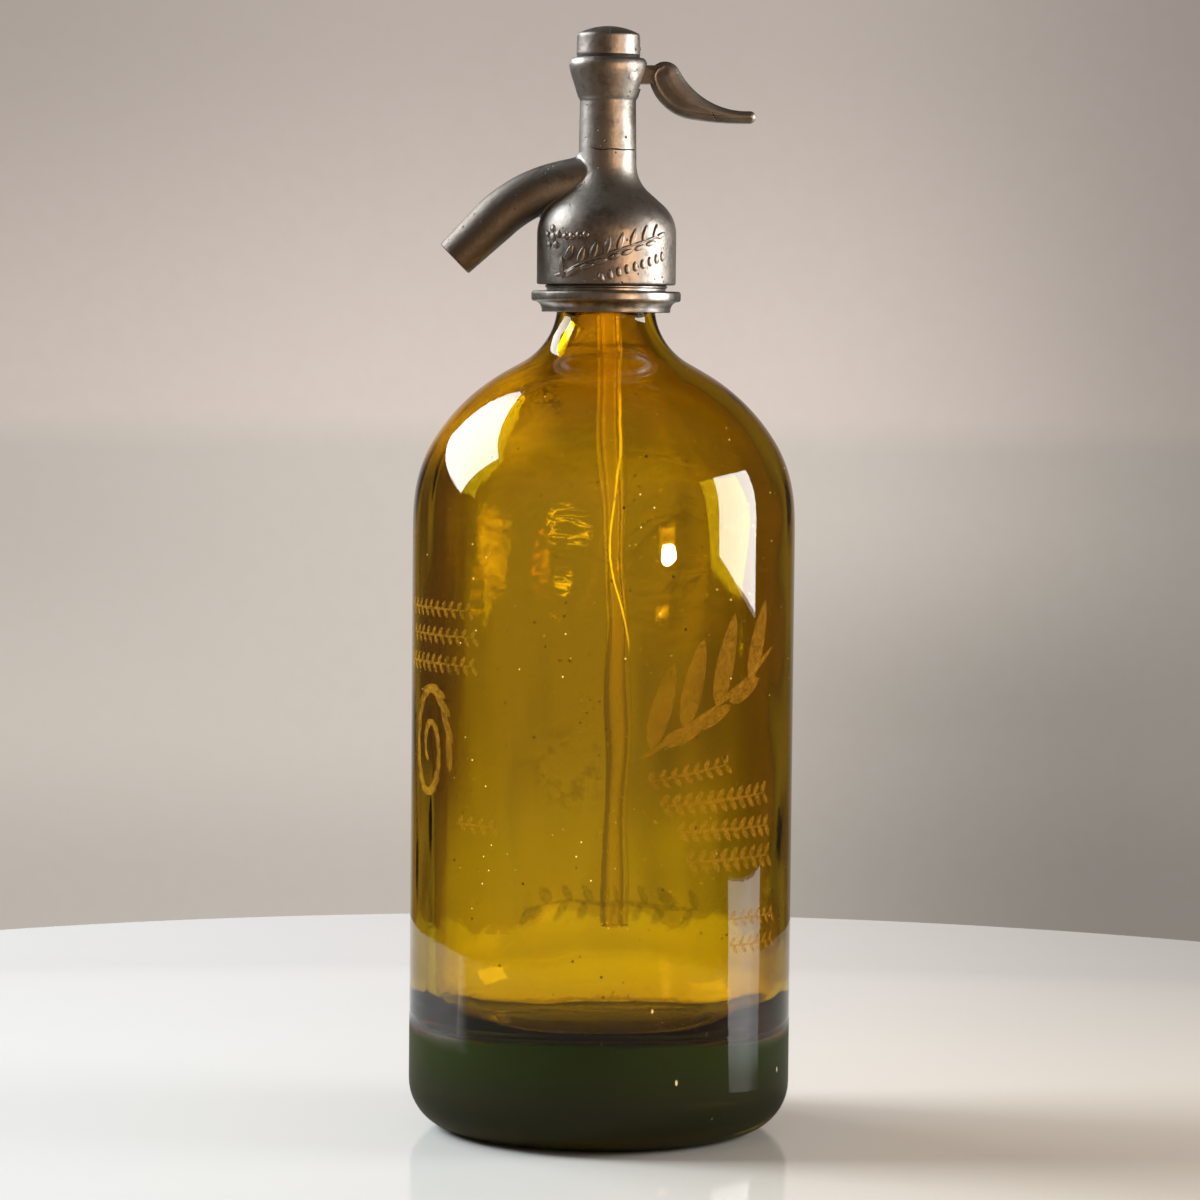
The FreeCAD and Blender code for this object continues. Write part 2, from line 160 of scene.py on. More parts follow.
def setFinish(thing, material):
    thing.data.materials.clear()
    thing.data.materials.append(material)


# the limb tone is painted shade: the spout's metal is toned darker to dim the highlights it mirrors
castLook = {"light": (0.385, 0.365, 0.34), "dark": (0.19, 0.178, 0.16), "pit": (0.05, 0.045, 0.04),
            "limb": (0.19, 0.172, 0.150), "roughness": 0.28, "seamHeight": 0.2824}


def castMetal():
    finish = newFinish("castMetal")
    x, y, z = finish.axes()
    cloud = finish.grain(70, 5, 0.6)
    mottle = finish.grain(380, 4, 0.65)
    sand = finish.grain(1000, 4, 0.7)
    streak = finish.grain(260, 4, 0.6, stretch=(1, 1, 0.25))
    pit = finish.rise(finish.spots(150), 0.035, 0.075, 1, 0)
    pit = pit * finish.rise(finish.grain(90, 2), 0.42, 0.48)
    speck = finish.rise(finish.spots(420), 0.06, 0.17, 1, 0)
    pit = pit + speck * finish.rise(finish.grain(150, 2), 0.46, 0.54) * 0.55
    wobble = (finish.grain(220, 2) - 0.5) * 0.0011
    seam = finish.rise(abs(z - (castLook["seamHeight"] + wobble)), 0.00006, 0.00022, 1, 0)
    seam = seam * finish.rise(y, -0.004, -0.001, 1, 0) * finish.rise(x, -0.006, -0.002)
    stain = finish.rise(cloud * 0.6 + mottle * 0.4, 0.46, 0.66)
    marks = finish.node("ShaderNodeMath", {"operation": "MAXIMUM"}, {0: pit, 1: seam})
    metal = finish.blend(stain, castLook["light"], castLook["dark"])
    # painted shade: the spout's metal is toned darker to dim the highlights it mirrors
    limb = finish.rise(x, -0.013, -0.024)
    metal = finish.blend(limb * 0.9, metal, castLook["limb"])
    color = finish.blend(marks, metal, castLook["pit"])
    roughness = castLook["roughness"] + cloud * 0.12 + mottle * 0.16 + sand * 0.06
    roughness = roughness + marks * 0.3 + limb * 0.05
    fine = finish.bump(sand * 0.6 + streak * 0.4, 0.00016, 0.6)
    waves = finish.bump(mottle, 0.00026, 0.5, fine)
    normal = finish.bump(1 - marks, 0.0004, 0.8, waves)
    return finish.finished({"Base Color": color, "Metallic": 1.0, "Roughness": roughness,
                            "Normal": normal})


collarLook = {"light": (0.46, 0.445, 0.42), "dull": (0.20, 0.19, 0.175), "roughness": 0.22}


def collarMetal():
    finish = newFinish("collarMetal")
    cloud = finish.grain(120, 4, 0.6)
    mottle = finish.grain(520, 4, 0.65)
    sand = finish.grain(1700, 3, 0.6)
    dull = finish.rise(cloud, 0.42, 0.68)
    color = finish.blend(dull, collarLook["light"], collarLook["dull"])
    roughness = collarLook["roughness"] + cloud * 0.14 + mottle * 0.16
    normal = finish.bump(mottle * 0.7 + sand * 0.3, 0.00025, 0.6)
    return finish.finished({"Base Color": color, "Metallic": 1.0, "Roughness": roughness,
                            "Normal": normal})


# the crack is a hair line at the lever's neck
leverLook = {"light": (0.40, 0.385, 0.36), "brown": (0.265, 0.25, 0.225), "crack": (0.06, 0.05, 0.04),
             "crackAt": (0.0302, 0.2925), "crackMiddle": 0.2924, "roughness": 0.34}


def leverMetal():
    finish = newFinish("leverMetal")
    cloud = finish.grain(110, 5, 0.6)
    mottle = finish.grain(600, 4, 0.7)
    sand = finish.grain(1900, 3, 0.6)
    brown = finish.rise(cloud, 0.38, 0.66)
    metal = finish.blend(brown, leverLook["light"], leverLook["brown"])
    x, y, z = finish.axes()
    crackX, crackZ = leverLook["crackAt"]
    crack = finish.rise(abs(x - crackX + (z - crackZ) * 0.4), 0.00005, 0.00020, 1, 0)
    crack = crack * finish.rise(abs(z - leverLook["crackMiddle"]), 0.0008, 0.0011, 1, 0)
    crack = crack * finish.rise(y, -0.001, 0.0, 1, 0)
    color = finish.blend(crack, metal, leverLook["crack"])
    roughness = leverLook["roughness"] + cloud * 0.14 + mottle * 0.14
    normal = finish.bump(mottle * 0.6 + sand * 0.4, 0.00016, 0.5)
    normal = finish.bump(1 - crack, 0.0003, 0.8, normal)
    return finish.finished({"Base Color": color, "Metallic": 1.0, "Roughness": roughness,
                            "Normal": normal})


def plainMetal(name, light, dark, roughness):
    finish = newFinish(name)
    cloud = finish.grain(300, 4, 0.6)
    turned = finish.grain(900, 2, 0.5, stretch=(0.1, 0.1, 1))
    color = finish.blend(finish.rise(cloud, 0.35, 0.7), light, dark)
    normal = finish.bump(turned, 0.00008, 0.5)
    return finish.finished({"Base Color": color, "Metallic": 1.0, "Roughness": roughness + cloud * 0.2,
                            "Normal": normal})


def softFinish(name, light, dark, scale):
    finish = newFinish(name)
    cloud = finish.grain(scale, 4, 0.6)
    color = finish.blend(finish.rise(cloud, 0.35, 0.7), light, dark)
    normal = finish.bump(finish.grain(scale * 4, 3), 0.0001, 0.6)
    return finish.finished({"Base Color": color, "Roughness": 0.6 + cloud * 0.25, "Normal": normal})


# tints of the wall, some of them painted light and shade, of the solid base and of marks and dirt, then
# painted glints and glow, then the glass all through
amberLook = {"olive": (0.775, 0.62, 0.02), "brown": (0.77, 0.575, 0.015), "litLow": (0.97, 0.80, 0.02),
             "litTopLeft": (0.98, 0.69, 0.01), "top": (0.84, 0.57, 0.01), "low": (0.86, 0.66, 0.02),
             "edge": (0.34, 0.19, 0.01), "rightEdgeShade": (0.66, 0.42, 0.01),
             "base": (0.23, 0.52, 0.12), "baseTop": 0.0290, "backDrop": 0.008, "frontLift": 0.078,
             "floorRing": 0.0302, "neckRing": 0.2250, "baseTint": (0.018, 0.030, 0.003),
             "footTint": (0.018, 0.020, 0.008), "baseCover": 0.8,
             "dot": (0.10, 0.05, 0.0), "scuff": (0.85, 0.80, 0.62), "residue": (0.30, 0.17, 0.01),
             "spark": (1.6, 1.15, 0.35), "glint": (1.3, 0.86, 0.05), "glow": (0.30, 0.135, 0.0),
             "volume": (0.86, 0.79, 0.0), "density": 120.0, "roughness": 0.004}


def glassWall(finish, spot, facing, cloud):
    # olive at the left and brown at the right; painted light: lighter low down where the table's light
    # shows through, and at the top left of the shoulder where window light shines through; painted
    # shade darker towards the outline, for the dark room seen at the edges
    x, _, z = spot
    rise, blend, look = finish.rise, finish.blend, amberLook
    wall = blend(rise(x + (cloud - 0.5) * 0.05, -0.01, 0.05), look["olive"], look["brown"])
    # painted light: the top left of the shoulder lighter where window light shines through
    top = blend(rise(x, -0.03, 0.015), look["litTopLeft"], look["top"])
    wall = blend(rise(z, 0.195, 0.222), wall, top)
    # painted light: lighter low down where the table's light shows through
    wall = blend(rise(z, 0.070, 0.118, 1, 0), wall, look["litLow"])
    wall = blend(rise(z, 0.044, 0.058, 1, 0), wall, look["low"])
    upright = rise(z, 0.075, 0.105) * rise(z, 0.165, 0.225, 1, 0.25)
    # painted shade: darker towards the outline, for the dark room seen at the edges
    edge = blend(rise(x, -0.02, 0.02), look["edge"], look["rightEdgeShade"])
    rim = finish.node("ShaderNodeMath", {"operation": "MAXIMUM"},
                      {0: rise(facing, 0.27, 0.48) * upright, 1: rise(facing, 0.40, 0.585)})
    return blend(rim, wall, edge)


def glassDirt(finish, spot, inner, wall):
    # residue on the far wall and as rings at the floor and the neck, and streaks on the shoulder
    x, y, z = spot
    rise, grain, blend, look = finish.rise, finish.grain, finish.blend, amberLook
    residue = finish.patch(x, z, (-0.009, 0.099), 0.015, 0.006)
    residue = residue * rise(grain(230, 4, 0.7), 0.47, 0.62) * rise(y, 0.0, 0.01)
    ragged = (grain(240, 4, 0.6) - 0.5) * 0.004
    floorRing = rise(abs(z - look["floorRing"] + ragged), 0.0004, 0.0012, 1, 0)
    neckRing = rise(abs(z - look["neckRing"] + ragged * 0.5), 0.0003, 0.0010, 1, 0)
    wall = blend((residue * 0.6 + floorRing * 0.8 + neckRing * 0.7) * inner, wall, look["residue"])
    streaks = rise(abs(grain(85, 3, 0.6, stretch=(1, 1, 1.8), warp=0.6) - 0.5), 0.008, 0.022, 1, 0)
    streaks = streaks * rise(x, -0.011, -0.015) * rise(x, -0.036, -0.030)
    streaks = streaks * rise(z, 0.207, 0.211) * rise(z, 0.2240, 0.2205)
    return blend(streaks * 0.8, wall, look["dot"])


def glassRelief(finish, spot, inner):
    # slow waves, then upright runs at the left, ripples on the far wall, wear and small bubbles
    x, y, z = spot
    rise, grain, bump = finish.rise, finish.grain, finish.bump
    waves = bump(grain(26, 2, 0.5, stretch=(1, 1, 0.5)), 0.0010, 0.5)
    runs = grain(70, 2, 0.5, stretch=(1, 1, 0.12)) * inner * rise(x, -0.005, -0.02)
    ripple = grain(60, 2, 0.5, stretch=(1, 1, 1.6), warp=0.8) * rise(y, 0.005, 0.03)
    ripple = ripple * rise(z, 0.13, 0.16) * inner
    worn = grain(420, 2, 0.6) * rise(grain(45, 2), 0.50, 0.60)
    bubbles = rise(finish.spots(330), 0.03, 0.10, 1, 0) * rise(grain(70, 2), 0.55, 0.62)
    normal = waves
    for height, distance, strength in [(runs, 0.0009, 0.5), (ripple, 0.0011, 0.5), (worn, 0.00004, 0.4),
                                       (bubbles, 0.0003, 0.9)]:
        normal = bump(height, distance, strength, normal)
    return waves, normal


def glassGlints(finish, spot, inner):
    # painted glints on bubbles, painted curls of light on the far wall, and a painted glow where window
    # light shines through the left shoulder
    x, y, z = spot
    rise, grain, blend, look = finish.rise, finish.grain, finish.blend, amberLook
    near = finish.patch(x, z, (0.028, 0.158), 0.030, 0.014)
    # painted highlights: glints on small bubbles
    sparks = rise(finish.spots(260), 0.04, 0.07, 1, 0) * rise(grain(50, 2) + near * 0.2, 0.52, 0.57)
    sparks = sparks * (1 - inner) * rise(z, 0.05, 0.08)
    # painted highlights: curls of light on the far wall
    glintCurls = rise(abs(grain(170, 3, 0.6, stretch=(1, 1, 2.4), warp=1.0) - 0.5), 0.008, 0.030, 1, 0)
    patches = finish.patch(x, z, (-0.0105, 0.1725), 0.0075, 0.0045, 1.7)
    patches = patches + finish.patch(x, z, (-0.0112, 0.1555), 0.0055, 0.0030, 6)
    glintCurls = glintCurls * patches * rise(y, 0.02, 0.03) * inner
    # painted glow: window light shining through the left shoulder
    lit = rise(x, -0.010, -0.028) * rise(z, 0.188, 0.203) * rise(z, 0.230, 0.214) * (1 - inner)
    lit = lit * rise(grain(60, 3, 0.6), 0.35, 0.65, 0.5, 1.1) * rise(y, 0.01, -0.01)
    light = blend(sparks, (0, 0, 0), look["spark"])
    light = blend(glintCurls, light, look["glint"])
    return blend(lit, light, look["glow"])


def amberGlass():
    finish = newFinish("amberGlass")
    rise, grain, blend, look = finish.rise, finish.grain, finish.blend, amberLook
    spot = finish.axes()
    x, y, z = spot
    cloud = grain(22, 3, 0.5)
    facing = finish.node("ShaderNodeLayerWeight", sockets={"Blend": 0.5}, output="Facing")
    inner = finish.node("ShaderNodeAttribute", {"attribute_name": "inside"}, output="Fac")
    wall = glassDirt(finish, spot, inner, glassWall(finish, spot, facing, cloud))
    front = finish.node("ShaderNodeMath", {"operation": "MINIMUM"}, {0: y, 1: 0.0})
    level = z + (cloud - 0.5) * 0.002 + rise(y, 0.0, 0.04) * look["backDrop"]
    level = level + front * look["frontLift"]
    deep = rise(level, look["baseTop"] - 0.0022, look["baseTop"], 1, 0)
    color = blend(deep, wall, look["base"])
    dots = rise(finish.spots(150), 0.05, 0.075, 1, 0) * rise(grain(35, 2), 0.45, 0.50)
    color = blend(dots * (1 - inner), color, look["dot"])
    scuffs = rise(finish.spots(230, stretch=(1, 1, 0.5)), 0.06, 0.14, 1, 0)
    scuffs = scuffs * rise(grain(75, 2), 0.52, 0.57)
    scuffs = scuffs * rise(z, 0.052, 0.036) * rise(x, -0.01, 0.01) * rise(y, 0.0, -0.01)
    color = blend(scuffs, color, look["scuff"])
    dust = rise(grain(900, 3, 0.7), 0.60, 0.72) * rise(grain(60, 5, 0.65), 0.50, 0.64)
    roughness = look["roughness"] + dust * 0.22 + inner * 0.05 + scuffs * 0.6
    coat = (1 - inner) * rise(facing, 0.35, 0.65, 1, 0) * rise(x, 0.0, 0.025, 1, 0.25)
    coat = coat * rise(z, 0.208, 0.214, 1, 0)
    waves, normal = glassRelief(finish, spot, inner)
    absorbed = finish.node("ShaderNodeVolumeAbsorption",
                           sockets={"Color": (*look["volume"], 1), "Density": look["density"]})
    baseCover = {"Base Color": blend(rise(z, 0.012, 0.026), look["footTint"], look["baseTint"]),
                 "Roughness": 0.02, "IOR": 1.5, "Normal": waves}
    covered = deep * (1 - inner) * (1 - scuffs) * look["baseCover"]
    return finish.finished({"Base Color": color, "Roughness": roughness, "Normal": normal, "IOR": 1.5,
                            "Metallic": scuffs, "Transmission Weight": 1.0, "Coat Weight": coat,
                            "Coat Roughness": 0.01, "Emission Color": glassGlints(finish, spot, inner),
                            "Emission Strength": 1.0}, absorbed, (covered, baseCover))


# limescale haze low and high in the tube, painted as a faint glow of caught light, and a painted
# highlight: the bright line of a window's reflection that wanders down it
tubeLook = {"clear": (1.0, 0.985, 0.88), "stained": (1.0, 0.96, 0.80), "hazeGlowLow": (0.015, 0.008, 0.0),
            "hazeGlowHigh": (0.062, 0.034, 0.0), "line": (1.0, 0.72, 0.05)}


def tubeGlass():
    finish = newFinish("tubeGlass")
    rise, blend, look = finish.rise, finish.blend, tubeLook
    x, y, z = finish.axes()
    cloud = finish.grain(60, 3, 0.5)
    color = blend(rise(cloud, 0.4, 0.7), look["clear"], look["stained"])
    # painted glow: limescale haze catching light
    hazeGlow = blend(rise(z + cloud * 0.03, 0.08, 0.22), look["hazeGlowLow"], look["hazeGlowHigh"])
    wander = rise(z, 0.1685, 0.136, 0.0015, 0.0074) + rise(z, 0.1685, 0.2025, 0.0, 0.0030)
    # painted highlight: the window's reflection as a bright line down the tube
    line = rise(abs(x - wander), 0.00012, 0.00042, 1, 0) * rise(y, 0.0, -0.0005)
    line = line * rise(z, 0.136, 0.141) * rise(z, 0.240, 0.205) * rise(cloud, 0.35, 0.55, 0.35, 1)
    waves = finish.bump(finish.grain(90, 2, 0.5, stretch=(1, 1, 0.3)), 0.001, 0.5)
    return finish.finished({"Base Color": color, "Roughness": 0.02 + cloud * 0.06, "Normal": waves,
                            "IOR": 1.08, "Transmission Weight": 1.0,
                            "Emission Color": blend(line, hazeGlow, look["line"]), "Emission Strength": 1.0,
                            "Coat Weight": 1.0, "Coat Roughness": 0.02})


def etchedFilm(name, tone, cover):
    # matte, half see-through marks on the glass
    finish = newFinish(name)
    worn = finish.rise(finish.grain(700, 4, 0.7), 0.36, 0.60, 0.35, 1.0)
    worn = worn * finish.rise(finish.grain(80, 3, 0.6), 0.30, 0.50, 0.45, 1.0)
    color = finish.blend(finish.grain(300, 3), tone, tuple(0.7 * part for part in tone))
    return finish.finished({"Base Color": color, "Roughness": 0.8, "Specular IOR Level": 0.15,
                            "Alpha": worn * cover})


finishes = {"amber_glass": amberGlass(), "tube_glass": tubeGlass(),
            "etched": etchedFilm("etched", (0.56, 0.27, 0.01), 0.25),
            # painted shade: the marks on the far wall get a darker copy of the etched finish
            "shadedEtchedBack": etchedFilm("shadedEtchedBack", (0.22, 0.14, 0.02), 0.20),
            "cast_metal": castMetal(), "collar_metal": collarMetal(), "lever_metal": leverMetal(),
            "brass": plainMetal("brass", (0.72, 0.52, 0.24), (0.42, 0.29, 0.13), 0.25),
            "steel": plainMetal("steel", (0.55, 0.55, 0.55), (0.32, 0.31, 0.30), 0.22),
            "rubber": softFinish("rubber", (0.035, 0.033, 0.032), (0.015, 0.014, 0.014), 500),
            "leather": softFinish("leather", (0.20, 0.11, 0.05), (0.11, 0.06, 0.03), 700)}
nodeSlots = {"bottle": "amber_glass", "dip_tube": "tube_glass", "neck_collar": "collar_metal",
             "head_casting": "cast_metal", "spout": "cast_metal", "cap": "cast_metal",
             "lever": "lever_metal", "head_gasket": "rubber", "cap_gasket": "rubber",
             "valve_washer": "rubber", "tube_sleeve": "rubber", "stem_packing": "leather",
             "valve_spring": "steel", "lever_pin": "steel", "valve_stem": "steel"}
for nodeName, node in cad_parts.items():
    setFinish(node, finishes[nodeSlots.get(nodeName, "brass")])
print("finishes set")


class Outline:
    # radius and height stops of a half section, as straight runs and tangent bends
    def __init__(self, radius, height):
        self.stops = [(radius, height)]

    def line(self, radius, height, steps=1):
        fromRadius, fromHeight = self.stops[-1]
        for step in range(1, steps + 1):
            share = step / steps
            self.stops.append((fromRadius + (radius - fromRadius) * share,
                               fromHeight + (height - fromHeight) * share))
        return self

    def lean(self, length, angle, steps=1):
        radius, height = self.stops[-1]
        lean = math.radians(angle)
        return self.line(radius - length * math.sin(lean), height + length * math.cos(lean), steps)

    def bend(self, size, angleIn, angleOut, steps=8):
        # degrees that the outline leans inwards from straight up
        radius, height = self.stops[-1]
        side = math.copysign(size, angleOut - angleIn)
        first = math.radians(angleIn)
        for step in range(1, steps + 1):
            angle = math.radians(angleIn + (angleOut - angleIn) * step / steps)
            self.stops.append((radius - side * (math.cos(first) - math.cos(angle)),
                               height + side * (math.sin(angle) - math.sin(first))))
        return self

    def ease(self, low, high, passes):
        # rounds off sudden changes of curvature between two heights, fading out towards both
        for _ in range(passes):
            eased = list(self.stops)
            for index in range(1, len(eased) - 1):
                before, here, after = self.stops[index - 1:index + 2]
                if low < here[1] < high:
                    pull = math.sin(math.pi * (here[1] - low) / (high - low)) ** 2 / 4
                    eased[index] = tuple(b + pull * (a - 2 * b + c)
                                         for a, b, c in zip(before, here, after))
            self.stops = eased
        return self

    def dome(self, height, steps=8):
        # from here to the axis, as part of a sphere
        radius, start = self.stops[-1]
        rise = height - start
        size = (radius ** 2 + rise ** 2) / (2 * rise)
        full = math.asin(radius / abs(size))
        for step in range(1, steps + 1):
            angle = full * (1 - step / steps)
            self.stops.append((abs(size) * math.sin(angle), height - size * (1 - math.cos(angle))))
        return self


def deselectAll():
    bpy.ops.object.select_all(action="DESELECT")


def named(name):
    piece = bpy.context.object
    piece.name = name
    piece.data.name = name
    return piece


def pick(piece):
    deselectAll()
    piece.select_set(True)
    bpy.context.view_layer.objects.active = piece


def editMesh(piece):
    pick(piece)
    bpy.ops.object.mode_set(mode="EDIT")


def closeEdit():
    bpy.ops.object.mode_set(mode="OBJECT")


def turned(name, outline, steps):
    # one point is drawn along the outline, then spun round the axis
    stops = outline.stops
    deselectAll()
    bpy.ops.mesh.primitive_plane_add(size=0.001, location=(stops[0][0], 0, stops[0][1]))
    piece = named(name)
    bpy.ops.object.transform_apply(location=True)
    editMesh(piece)
    bpy.ops.mesh.select_all(action="SELECT")
    bpy.ops.mesh.merge(type="CENTER")
    for here, there in zip(stops, stops[1:]):
        step = (there[0] - here[0], 0, there[1] - here[1])
        bpy.ops.mesh.extrude_region_move(TRANSFORM_OT_translate={"value": step})
    bpy.ops.mesh.select_all(action="SELECT")
    bpy.ops.mesh.spin(steps=steps, angle=2 * math.pi, center=(0, 0, 0), axis=(0, 0, 1))
    bpy.ops.mesh.select_all(action="SELECT")
    bpy.ops.mesh.remove_doubles(threshold=2e-6)
    bpy.ops.mesh.normals_make_consistent(inside=False)
    closeEdit()
    return piece


def applyModifier(piece, kind, **settings):
    modifier = piece.modifiers.new(kind.lower(), kind)
    for key, value in settings.items():
        setattr(modifier, key, value)
    bpy.context.view_layer.objects.active = piece
    bpy.ops.object.modifier_apply(modifier=modifier.name)


def combine(piece, other, operation):
    applyModifier(piece, "BOOLEAN", object=other, operation=operation, solver="EXACT")
    bpy.data.objects.remove(other)


def smoothShade(piece, angle):
    pick(piece)
    bpy.ops.object.shade_smooth_by_angle(angle=math.radians(angle))


def plug(radius, low, high, sides=96):
    deselectAll()
    bpy.ops.mesh.primitive_cylinder_add(vertices=sides, radius=radius, depth=high - low,
                                        location=(0, 0, (low + high) / 2))
    bpy.ops.object.transform_apply(location=True)
    return named("cutter")


def block(low, high):
    deselectAll()
    size = [top - bottom for bottom, top in zip(low, high)]
    middle = [(top + bottom) / 2 for bottom, top in zip(low, high)]
    bpy.ops.mesh.primitive_cube_add(size=1, location=middle, scale=size)
    bpy.ops.object.transform_apply(location=True, scale=True)
    return named("cutter")


bottleSize = {"radius": 0.0551, "sideTop": 0.17785, "wall": 0.005, "base": 0.028, "heel": 0.014,
              "innerHeel": 0.015, "footWidth": 0.007, "pushup": 0.003, "shoulder": 0.0408,
              "shoulderTurn": 32.4, "coneAngle": 60.7, "coneRun": 0.0054, "neckBlend": 0.0189,
              "neckRadius": 0.01405, "neckRun": 0.0023, "bore": 0.0084, "grooveDepth": 0.00175,
              "grooveHeight": 0.003, "beadProud": 0.0004, "beadHeight": 0.0058, "lipRound": 0.0008,
              "innerWave": 0.0007, "waveAcross": 38, "waveUp": 17, "waveTop": 0.225, "waveFade": 0.02,
              "easeReach": 0.020, "segments": 176}
cone = math.radians(bottleSize["coneAngle"])
firstTurn = math.radians(bottleSize["shoulderTurn"])
blendReach = bottleSize["neckBlend"] * (1 - math.cos(cone))
shoulderLeft = (bottleSize["radius"] - bottleSize["neckRadius"] - blendReach
                - bottleSize["coneRun"] * math.sin(cone)
                - bottleSize["shoulder"] * (1 - math.cos(firstTurn)))
upperShoulder = shoulderLeft / (math.cos(firstTurn) - math.cos(cone))


def shoulderRun(outline, inset, blend):
    size = bottleSize
    outline.line(size["radius"] - inset, size["sideTop"], 60)
    outline.bend(size["shoulder"] - inset, 0, size["shoulderTurn"], 12)
    outline.bend(upperShoulder - inset, size["shoulderTurn"], size["coneAngle"], 14)
    outline.lean(size["coneRun"], size["coneAngle"], 2)
    outline.bend(blend, size["coneAngle"], 0, 14)
    outline.ease(size["sideTop"] - size["easeReach"], size["sideTop"] + size["easeReach"], 8)
    return outline


def makeBottle():
    size = bottleSize
    foot = size["radius"] - size["heel"]
    outside = Outline(0, size["pushup"])
    rim = foot - size["footWidth"]
    for step in range(1, 9):
        share = step / 8
        outside.stops.append((rim * share, size["pushup"] * (1 - share ** 2)))
    outside.line(foot, 0, 2).bend(size["heel"], -90, 0, 12)
    shoulderRun(outside, 0, size["neckBlend"])
    neckTop = outside.stops[-1][1] + size["neckRun"]
    groove = size["neckRadius"] - size["grooveDepth"]
    bead = size["neckRadius"] + size["beadProud"]
    lip = neckTop + 0.0001 + size["grooveHeight"] + size["beadHeight"]
    outside.line(size["neckRadius"], neckTop).line(groove, neckTop)
    outside.line(groove, lip - size["beadHeight"])
    outside.line(bead - size["lipRound"], lip - size["beadHeight"]).bend(size["lipRound"], -90, 0, 4)
    outside.line(bead, lip - size["lipRound"]).bend(size["lipRound"], 0, 90, 4)
    inside = Outline(0, size["base"])
    inside.line(size["radius"] - size["wall"] - size["innerHeel"], size["base"], 8)
    inside.bend(size["innerHeel"], -90, 0, 12)
    innerBlend = size["neckRadius"] + blendReach - size["wall"] * math.cos(cone) - size["bore"]
    shoulderRun(inside, size["wall"], innerBlend / (1 - math.cos(cone)))
    inside.line(size["bore"], lip)
    skin = list(outside.stops)
    outside.line(size["bore"], lip)
    outside.stops += inside.stops[-2::-1]
    piece = turned("bottleGlass", outside, size["segments"])
    waveInside(piece, skin)
    smoothShade(piece, 50)
    return piece


def skinRadius(skin, height):
    for (low, start), (high, end) in zip(skin, skin[1:]):
        if start < height <= end:
            return low + (high - low) * (height - start) / (end - start)
    return 0.0


def waveInside(piece, skin):
    # hand-blown inside: the wall's inner face and floor wander by under a millimetre; the inner face is
    # marked for the glass finish
    size = bottleSize
    mark = piece.data.attributes.new("inside", "FLOAT", "POINT")
    for vertex in piece.data.vertices:
        place = vertex.co
        radius = math.hypot(place.x, place.y)
        if place.z < size["base"] - 0.0003 or radius > skinRadius(skin, place.z) - 0.0015:
            continue
        mark.data[vertex.index].value = 1.0
        if radius < 0.0005 or place.z > size["waveTop"]:
            continue
        across, up = size["waveAcross"], size["waveUp"]
        stretched = Vector((place.x * across, place.y * across, place.z * up))
        wave = noise.noise(stretched) + 0.45 * noise.noise(stretched * 2.3)
        fade = min(1, (size["waveTop"] - place.z) / size["waveFade"])
        if place.z < size["base"] + 0.001:
            place.z += wave * size["innerWave"] * min(1, radius / 0.01)
        else:
            outward = Vector((place.x, place.y, 0)) / radius
            vertex.co = place + outward * wave * size["innerWave"] * fade
    piece.data.update()


bottle = makeBottle()
setFinish(bottle, finishes["amber_glass"])
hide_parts("bottle")
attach(bottle, "root")
print("bottle made")


tubeSize = {"radius": 0.00375, "bore": 0.0021, "bottom": 0.0585, "top": 0.2553, "sides": 40,
            "bow": [(0.0585, 0.0042), (0.085, 0.0043), (0.12, 0.0040), (0.16, 0.0032), (0.20, 0.0018),
                    (0.2553, 0.0)]}


def tubeShift(height):
    stops = tubeSize["bow"]
    for (low, here), (high, there) in zip(stops, stops[1:]):
        if height <= high:
            share = (height - low) / (high - low)
            share = share * share * (3 - 2 * share)
            return here + (there - here) * share
    return 0.0


def makeTube():
    size = tubeSize
    edge = 0.0004
    outline = Outline(size["bore"], size["bottom"])
    outline.line(size["radius"] - edge, size["bottom"]).bend(edge, -90, 0, 4)
    outline.line(size["radius"], size["top"], 60).line(size["bore"], size["top"])
    outline.line(size["bore"], size["bottom"], 60)
    piece = turned("dipTube", outline, size["sides"])
    for vertex in piece.data.vertices:
        vertex.co.x += tubeShift(vertex.co.z)
    smoothShade(piece, 50)
    return piece


dipTube = makeTube()
setFinish(dipTube, finishes["tube_glass"])
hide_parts("dip_tube")
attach(dipTube, "root")
print("dip tube made")


headSize = {"bellRadius": 0.02, "bellBottom": 0.2438, "bellTop": 0.2582, "bellRound": 0.0115,
            "flareAngle": 48.5, "flareBlend": 0.0107, "neckRadius": 0.00835, "neckTopRadius": 0.00803,
            "crownBottom": 0.29667, "crownTop": 0.30867, "bellBore": 0.01765, "face": 0.2513,
            "cavity": 0.0064, "capBore": 0.00735, "threadFloor": 0.30577, "slotFloor": 0.299867,
            "slotRoof": 0.306967, "slotHalf": 0.0034, "voxel": 0.00036}
spoutSize = {"axisHeight": 0.2758, "rootAngle": 14.0, "tipAngle": 44.3, "rootRun": 0.014,
             "bend": 0.0411, "straight": 0.0159, "rootRadius": 0.00665, "tipRadius": 0.00585,
             "bore": 0.004, "sides": 72, "fillet": 0.0047, "filletAt": (-0.0087, 0, 0.2806)}
# the crown's profile from its foot to its top, as radius and height
crownOutline = [(0.0086, 0.29737), (0.00895, 0.2985), (0.0094, 0.3000), (0.01, 0.3018),
                (0.0106, 0.3036), (0.01098, 0.305), (0.01118, 0.3062), (0.0112, 0.3069),
                (0.0109, 0.3079), (0.01045, 0.30845), (0.0100, 0.30867)]


